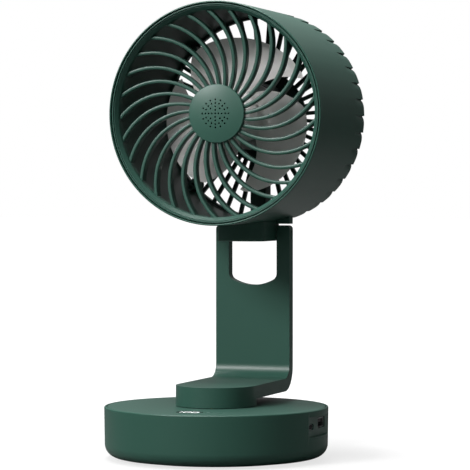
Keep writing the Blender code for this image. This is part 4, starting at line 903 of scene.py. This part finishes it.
FLUTES = 40
FLUTE_START = 71.5 * MM
flute_shape = [
    (math.radians(offset), share)
    for offset, share in (
        (-4.4, 0.0), (-3.2, 0.07), (-2.2, 0.20), (-1.4, 0.40), (-0.8, 0.64), (-0.35, 0.90), (-0.12, 1.0),
        (0.12, 0.97), (0.26, 0.0), (0.6, 0.0), (2.4, 0.0),
    )
]


def flute_depth(y):
    reach = max(0.0, (y - FLUTE_START) / (91.2 * MM - FLUTE_START))
    return 1.55 * MM * min(1.0, reach) ** 0.9


drum_section = [
    (4.2 * MM, drum_radius(4.2 * MM) - 2.6 * MM, 0.0),
    (4.2 * MM, 68.9 * MM, 0.0),
    (-4.9 * MM, 68.9 * MM, 0.0),
    (-5.35 * MM, 69.05 * MM, 0.0),
    (-5.5 * MM, 69.35 * MM, 0.0),
    (-5.45 * MM, 69.65 * MM, 0.0),
    (-5.2 * MM, 69.9 * MM, 0.0),
    (-4.8 * MM, 70.0 * MM, 0.0),
]
for k in range(1, 8):
    y = (-4.8 + 75.8 * k / 7) * MM
    drum_section.append((y, drum_radius(y), 0.0))
for k in range(0, 11):
    y = FLUTE_START + (90.6 * MM - FLUTE_START) * (k / 10) ** 1.5
    drum_section.append((y, drum_radius(y), flute_depth(y)))
drum_section += [
    (91.4 * MM, 68.95 * MM, 1.35 * MM),
    (91.85 * MM, 68.3 * MM, 0.85 * MM),
    (92.0 * MM, 67.5 * MM, 0.30 * MM),
    (92.0 * MM, 67.0 * MM, 0.0),
    (91.7 * MM, 66.65 * MM, 0.0),
    (88.0 * MM, 66.6 * MM, 0.0),
]
drum_points = []
drum_faces = []
per_row = FLUTES * len(flute_shape)
for y, radius, depth in drum_section:
    for flute in range(FLUTES):
        for offset, share in flute_shape:
            angle = flute * 2 * math.pi / FLUTES + offset
            r = radius - depth * share
            drum_points.append((r * math.cos(angle), y, HEAD_Z + r * math.sin(angle)))
rows = len(drum_section)
for row in range(rows):
    low, high = row * per_row, (row + 1) % rows * per_row
    for k in range(per_row):
        ahead = (k + 1) % per_row
        drum_faces.append((low + k, low + ahead, high + ahead, high + k))
drum = linked("drum_casing", surface_mesh("drum_casing", drum_points, drum_faces, crease=28.0))
coated(drum, moulded("drum_plastic", GREEN, rough=0.38))
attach(drum, "head")
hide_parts("drum_shell")
LUG_REACH = 62.6 * MM
lug_angles = [math.radians(45 + 90 * k) for k in range(4)]
lug_places = [(LUG_REACH * math.cos(a), HEAD_Z + LUG_REACH * math.sin(a)) for a in lug_angles]
for k, angle in enumerate(lug_angles):
    post = lathe(
        f"drum_post_{k + 1}",
        [
            (1.5 * MM, 75.9 * MM, 0),
            (3.2 * MM, 75.9 * MM, 0.4 * MM),
            (3.2 * MM, 85.9 * MM, 0.2 * MM),
            (1.5 * MM, 85.9 * MM, 0),
        ],
        32,
        "Y",
        lug_places[k],
    )
    coated(post, drum.data.materials[0])
    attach(post, "head")
    web = prism(
        f"drum_post_web_{k + 1}",
        [(LUG_REACH, -1.0 * MM), (66.8 * MM, -1.6 * MM), (66.8 * MM, 1.6 * MM), (LUG_REACH, 1.0 * MM)],
        75.9 * MM,
        85.9 * MM,
        "Y",
    )
    web.data.transform(Matrix.Translation((0, 0, HEAD_Z)) @ Matrix.Rotation(-angle, 4, "Y"))
    coated(web, drum.data.materials[0])
    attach(web, "head")


# ---- Front grille
# A bevelled ring pressed into the drum's lip, with twenty-nine thin ribs that sweep back from the
# ring to a plate behind the cap. Each rib is deep and has a rounded front edge.

RING_IN = 64.6 * MM
grille_ring = lathe(
    "grille_ring",
    [
        (RING_IN, 3.6 * MM, 0.2 * MM),
        (68.6 * MM, 3.6 * MM, 0.2 * MM),
        (68.6 * MM, -3.4 * MM, 0),
        (68.25 * MM, -3.6 * MM, 0),
        (68.25 * MM, -4.9 * MM, 0.25 * MM),
        (67.55 * MM, -4.9 * MM, 0.15 * MM),
        (67.45 * MM, -4.0 * MM, 0),
        (67.05 * MM, -4.0 * MM, 0),
        (66.95 * MM, -4.25 * MM, 0.15 * MM),
        (64.9 * MM, -1.7 * MM, 0.6 * MM),
        (RING_IN, 1.0 * MM, 0.5 * MM),
    ],
    sides=256,
    axis="Y",
    centre=HEAD_AXIS,
    steps=5,
)
RIBS = 29
RIB_HALF = 1.12 * MM
RIB_BACK = 6.2
RIB_ROOT, RIB_TIP = 16.4, 65.6
RIB_LEAD = 8.4
rib_section = [
    (-0.8, RIB_BACK), (-1.0, 1.4), (-1.0, 0.75), (-0.9, 0.32), (-0.6, 0.06), (0.0, 0.0),
    (0.6, 0.06), (0.9, 0.32), (1.0, 0.75), (1.0, 1.4), (0.8, RIB_BACK),
]


def rib_turn(r_mm):
    """How far a rib lags behind its tip at a radius, in degrees."""
    return -(0.2 * (65 - r_mm) + 0.0059 * (65 * 65 - r_mm * r_mm))


rib_points = []
rib_faces = []
STATIONS = 22
for rib in range(RIBS):
    lead = RIB_LEAD + 360.0 / RIBS * rib
    first = len(rib_points)
    for s in range(STATIONS + 1):
        r_mm = RIB_ROOT + (RIB_TIP - RIB_ROOT) * s / STATIONS
        here = math.radians(lead + rib_turn(r_mm))
        ahead = math.radians(lead + rib_turn(r_mm + 0.05))
        point = Vector((r_mm * math.cos(here), r_mm * math.sin(here)))
        onward = Vector(((r_mm + 0.05) * math.cos(ahead), (r_mm + 0.05) * math.sin(ahead))) - point
        onward.normalize()
        across = Vector((-onward.y, onward.x))
        front = 1.3 - 1.9 * min(1.0, max(0.0, (r_mm - 18.4) / (64.6 - 18.4)))
        for side, depth in rib_section:
            y = front + depth if depth < RIB_BACK else RIB_BACK
            place = point * MM + across * side * RIB_HALF
            rib_points.append((place.x, y * MM, HEAD_Z + place.y))
    width = len(rib_section)
    for s in range(STATIONS):
        for k in range(width):
            j = (k + 1) % width
            low = first + s * width
            rib_faces.append((low + k, low + j, low + width + j, low + width + k))
    rib_faces.append(tuple(range(first, first + width)))
    last = first + STATIONS * width
    rib_faces.append(tuple(range(last, last + width)))
grille_ribs = linked("grille_ribs", surface_mesh("grille_ribs", rib_points, rib_faces, crease=40.0))
grille_plate = lathe(
    "grille_plate",
    [(0, 1.6 * MM, 0), (17.4 * MM, 1.6 * MM, 0.3 * MM), (17.4 * MM, 6.4 * MM, 0.5 * MM), (0, 6.4 * MM, 0)],
    96,
    "Y",
    HEAD_AXIS,
    closed=False,
)
grille_finish = moulded("grille_plastic", (0.0190, 0.0600, 0.0450), rough=0.38)
for part in (grille_ring, grille_ribs, grille_plate):
    coated(part, grille_finish)
    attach(part, "head")
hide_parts("front_grille")


# ---- Grille cap
# A shallow domed disc in the base's plastic, clipped to the grille's middle. Rings of small holes
# run through it.

cap_corners = [(0, -2.1 * MM, 0)]
for k in range(1, 9):
    r = 18.0 * k / 8
    cap_corners.append((r * MM, (-2.1 + 1.8 * (r / 18.0) ** 2.2) * MM, 0))
cap_corners += [
    (18.4 * MM, 0.15 * MM, 0.3 * MM),
    (18.3 * MM, 1.0 * MM, 0.15 * MM),
    (17.2 * MM, 1.0 * MM, 0),
    (15.0 * MM, 0.6 * MM, 0),
    (9.0 * MM, 0.45 * MM, 0),
    (0, 0.4 * MM, 0),
]
badge = lathe("grille_centre_cap", cap_corners, 128, "Y", HEAD_AXIS, closed=False)
hole_points = []
hole_faces = []
HOLE_SIDES = 14
HOLE_RADIUS = 0.56
for count, ring_mm in ((1, 0.0), (4, 2.18), (8, 4.36), (16, 6.55), (16, 8.7)):
    for k in range(count):
        angle = 2 * math.pi * k / count
        cx, cz = ring_mm * math.cos(angle), ring_mm * math.sin(angle)
        first = len(hole_points)
        for y in (-3.0, 0.9):
            for s in range(HOLE_SIDES):
                a = 2 * math.pi * (s + 0.3) / HOLE_SIDES
                x, z = cx + HOLE_RADIUS * math.cos(a), cz + HOLE_RADIUS * math.sin(a)
                hole_points.append((x * MM, y * MM, HEAD_Z + z * MM))
        hole_faces.append(tuple(range(first, first + HOLE_SIDES)))
        hole_faces.append(tuple(range(first + HOLE_SIDES, first + 2 * HOLE_SIDES)))
        for s in range(HOLE_SIDES):
            t = (s + 1) % HOLE_SIDES
            hole_faces.append((first + s, first + t, first + HOLE_SIDES + t, first + HOLE_SIDES + s))
drills = linked("sound_holes", surface_mesh("sound_holes", hole_points, hole_faces))
shaped(badge, ("DIFFERENCE", drills))
badge.data.shade_smooth()
badge.data.set_sharp_from_angle(angle=math.radians(35))
coated(badge, moulded("cap_plastic", (0.0215, 0.0680, 0.0500), rough=0.40))
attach(badge, "head")
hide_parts("grille_cap")


# ---- Rear grille
# A ring with forty straight bars that run in to a disc, four screw lugs, a round tower that carries
# the motor, and one wide spoke at the bottom.

rear_ring = lathe(
    "rear_ring",
    [
        (64.8 * MM, 86.2 * MM, 0.3 * MM),
        (66.2 * MM, 86.2 * MM, 0.2 * MM),
        (66.2 * MM, 91.0 * MM, 0.3 * MM),
        (64.8 * MM, 91.0 * MM, 0.5 * MM),
    ],
    256,
    "Y",
    HEAD_AXIS,
    steps=3,
)
rear_disc = lathe(
    "rear_disc",
    [
        (0, 88.0 * MM, 0),
        (30.0 * MM, 88.0 * MM, 0.3 * MM),
        (30.0 * MM, 90.6 * MM, 0.8 * MM),
        (26.5 * MM, 91.0 * MM, 0.4 * MM),
        (26.0 * MM, 90.5 * MM, 0.3 * MM),
        (25.2 * MM, 90.5 * MM, 0.3 * MM),
        (24.7 * MM, 91.0 * MM, 0.4 * MM),
        (0, 91.0 * MM, 0),
    ],
    128,
    "Y",
    HEAD_AXIS,
    closed=False,
    steps=3,
)
tower = lathe(
    "motor_tower",
    [
        (16.5 * MM, 62.0 * MM, 0.3 * MM),
        (22.0 * MM, 62.0 * MM, 0.8 * MM),
        (22.0 * MM, 88.4 * MM, 0),
        (16.5 * MM, 88.4 * MM, 0),
    ],
    128,
    "Y",
    HEAD_AXIS,
)
bar_outline = rounded_outline(
    [
        (-1.2 * MM, 87.0 * MM, 0.5 * MM),
        (1.2 * MM, 87.0 * MM, 0.5 * MM),
        (1.2 * MM, 90.9 * MM, 0.8 * MM),
        (-1.2 * MM, 90.9 * MM, 0.8 * MM),
    ],
    steps=3,
)
bar_points = []
bar_faces = []
for k in range(40):
    turn = Matrix.Rotation(-math.radians(4.5 + 9 * k), 3, "Y")
    first = len(bar_points)
    for reach in (28.5 * MM, 65.4 * MM):
        for z, y in bar_outline:
            bar_points.append(turn @ Vector((reach, y, z)) + Vector((0, 0, HEAD_Z)))
    width = len(bar_outline)
    for i in range(width):
        j = (i + 1) % width
        bar_faces.append((first + i, first + j, first + width + j, first + width + i))
rear_bars = linked("rear_bars", surface_mesh("rear_bars", bar_points, bar_faces))
spoke_view = rounded_outline(
    [
        (-5.2 * MM, 79.0 * MM, 1.0 * MM),
        (5.2 * MM, 79.0 * MM, 1.0 * MM),
        (5.2 * MM, 90.8 * MM, 0.6 * MM),
        (-5.2 * MM, 90.8 * MM, 0.6 * MM),
    ],
    steps=4,
)
spoke = prism("wire_spoke", spoke_view, HEAD_Z - 65.4 * MM, HEAD_Z - 21.0 * MM)
rear_finish = moulded("rear_grille_plastic", (0.0130, 0.0400, 0.0300), rough=0.48)
rear_parts = [rear_ring, rear_disc, tower, rear_bars, spoke]
for k, spot in enumerate(lug_places):
    lug = lathe(
        f"rear_lug_{k + 1}",
        [
            (1.5 * MM, 86.2 * MM, 0),
            (3.4 * MM, 86.2 * MM, 0.2 * MM),
            (3.4 * MM, 89.0 * MM, 0.3 * MM),
            (1.5 * MM, 89.0 * MM, 0),
        ],
        40,
        "Y",
        spot,
    )
    rear_parts.append(lug)
for part in rear_parts:
    coated(part, rear_finish)
    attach(part, "head")
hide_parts("rear_grille")


# ---- Impeller
# One light grey moulding: a round-nosed hub and three wide blades that twist from front to back,
# with rounded tip corners and thin edges. Its grey is painted lighter than the plastic's own, as painted
# light.

hub = lathe(
    "impeller_hub",
    [
        (1.8 * MM, 30.0 * MM, 0.2 * MM),
        (12.0 * MM, 30.0 * MM, 2.0 * MM),
        (16.3 * MM, 32.4 * MM, 3.0 * MM),
        (16.5 * MM, 52.0 * MM, 0.4 * MM),
        (15.0 * MM, 52.0 * MM, 0.2 * MM),
        (15.0 * MM, 32.8 * MM, 0.5 * MM),
        (1.8 * MM, 32.8 * MM, 0),
    ],
    96,
    "Y",
    HEAD_AXIS,
    steps=6,
)
CHORDS, REACHES = 56, 20
BLADE_ROOT, BLADE_TIP = 15.6, 50.2
BLADE_FRONT, BLADE_DEPTH, BLADE_BOW = 31.0, 16.0, 0.8
BLADE_HALF = 0.75
blade_points = []
blade_faces = []
for blade in range(3):
    for face in (-1, 1):
        for i in range(CHORDS + 1):
            for j in range(REACHES + 1):
                spots = []
                for di, dj in ((0, 0), (0.5, 0), (0, 0.5)):
                    chord = (i + di) / (CHORDS + 0.5)
                    reach = (j + dj) / (REACHES + 0.5)
                    edge_in = abs(2 * chord - 1)
                    r_mm = BLADE_ROOT + (BLADE_TIP - BLADE_ROOT) * reach
                    r_mm -= 2.6 * edge_in ** 9 * reach
                    middle = -46.5 + 1.27 * (50 - r_mm) + 120 * blade
                    angle = middle + (97.0 + 0.2 * (50 - r_mm)) * (0.5 - chord)
                    depth = BLADE_FRONT + BLADE_DEPTH * chord + BLADE_BOW * math.sin(math.pi * chord)
                    a = math.radians(angle)
                    spots.append(Vector((r_mm * math.cos(a), depth, r_mm * math.sin(a))))
                normal = (spots[1] - spots[0]).cross(spots[2] - spots[0])
                normal.normalize()
                thin = min(1.0, 0.35 + 6 * min(i, CHORDS - i) / CHORDS, 0.35 + 3 * (REACHES - j) / REACHES)
                spot = spots[0] + normal * face * BLADE_HALF * thin
                blade_points.append((spot.x * MM, spot.y * MM, HEAD_Z + spot.z * MM))
    sheet = (CHORDS + 1) * (REACHES + 1)
    start = blade * 2 * sheet
    width = REACHES + 1
    for layer in (0, sheet):
        for i in range(CHORDS):
            for j in range(REACHES):
                a = start + layer + i * width + j
                blade_faces.append((a, a + 1, a + width + 1, a + width))
    border = [i * width for i in range(CHORDS + 1)]
    border += [CHORDS * width + j for j in range(1, width)]
    border += [i * width + REACHES for i in range(CHORDS - 1, -1, -1)]
    border += [j for j in range(REACHES - 1, 0, -1)]
    for a, b in zip(border, border[1:] + border[:1]):
        blade_faces.append((start + a, start + b, start + sheet + b, start + sheet + a))
blades = linked("impeller_blades", surface_mesh("impeller_blades", blade_points, blade_faces, crease=50.0))
# The hub's and blades' grey is painted lighter than their own plastic: painted light that stands in for the
# light the grille keeps off them.
blade_and_painted_light_finish = moulded("blade_plastic", (0.84, 0.82, 0.80), rough=0.38, grain=0.25, worn=0.0)
for part in (hub, blades):
    coated(part, blade_and_painted_light_finish)
    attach(part, "impeller")
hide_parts("impeller")


# ---- Inner parts and fasteners
# Steel, brass, copper, circuit board and shrink sleeve. These keep their engineering shapes and get
# a finish of their own.

INNER = {
    "black_plastic": ((0.012, 0.012, 0.013), 0.45, 0.0, 0.3),
    "steel": ((0.50, 0.51, 0.52), 0.30, 1.0, 0.15),
    "brass": ((0.62, 0.45, 0.18), 0.28, 1.0, 0.15),
    "winding": ((0.55, 0.24, 0.09), 0.35, 1.0, 0.8),
    "board": ((0.012, 0.110, 0.050), 0.35, 0.0, 0.4),
    "cell": ((0.030, 0.110, 0.330), 0.30, 0.0, 0.1),
    "motor_can": ((0.45, 0.46, 0.47), 0.35, 1.0, 0.15),
    "blade_grey": ((0.62, 0.61, 0.58), 0.45, 0.0, 0.3),
    "housing_green": (GREEN, 0.40, 0.0, 0.35),
    "grille_green": (GREEN, 0.40, 0.0, 0.35),
    "rubber": ((0.018, 0.018, 0.019), 0.75, 0.0, 0.6),
    "display_lens": ((0.010, 0.011, 0.011), 0.12, 0.0, 0.05),
}
slot_of = {entry["node"]: entry["material_slot"] for entry in frame["record"]["subparts"]}
for node, piece in frame["nodes"].items():
    colour, rough, metallic, grain = INNER[slot_of[node]]
    coated(piece, moulded(f"{node}_finish", colour, rough, grain, metallic=metallic))


# ---- Even shading
# Broad flat faces stay flat right up to their rounded edges, as they do on a real moulding. This
# changes how light falls on a piece, and not its shape.

for piece in list(bpy.data.objects):
    if piece.type == "MESH" and piece.name not in frame["nodes"] and piece is not desk_top:
        even = piece.modifiers.new("even_faces", "WEIGHTED_NORMAL")
        even.keep_sharp = True


# ---- Update
# The view layer is brought up to date once more.

import json

bpy.context.view_layer.update()
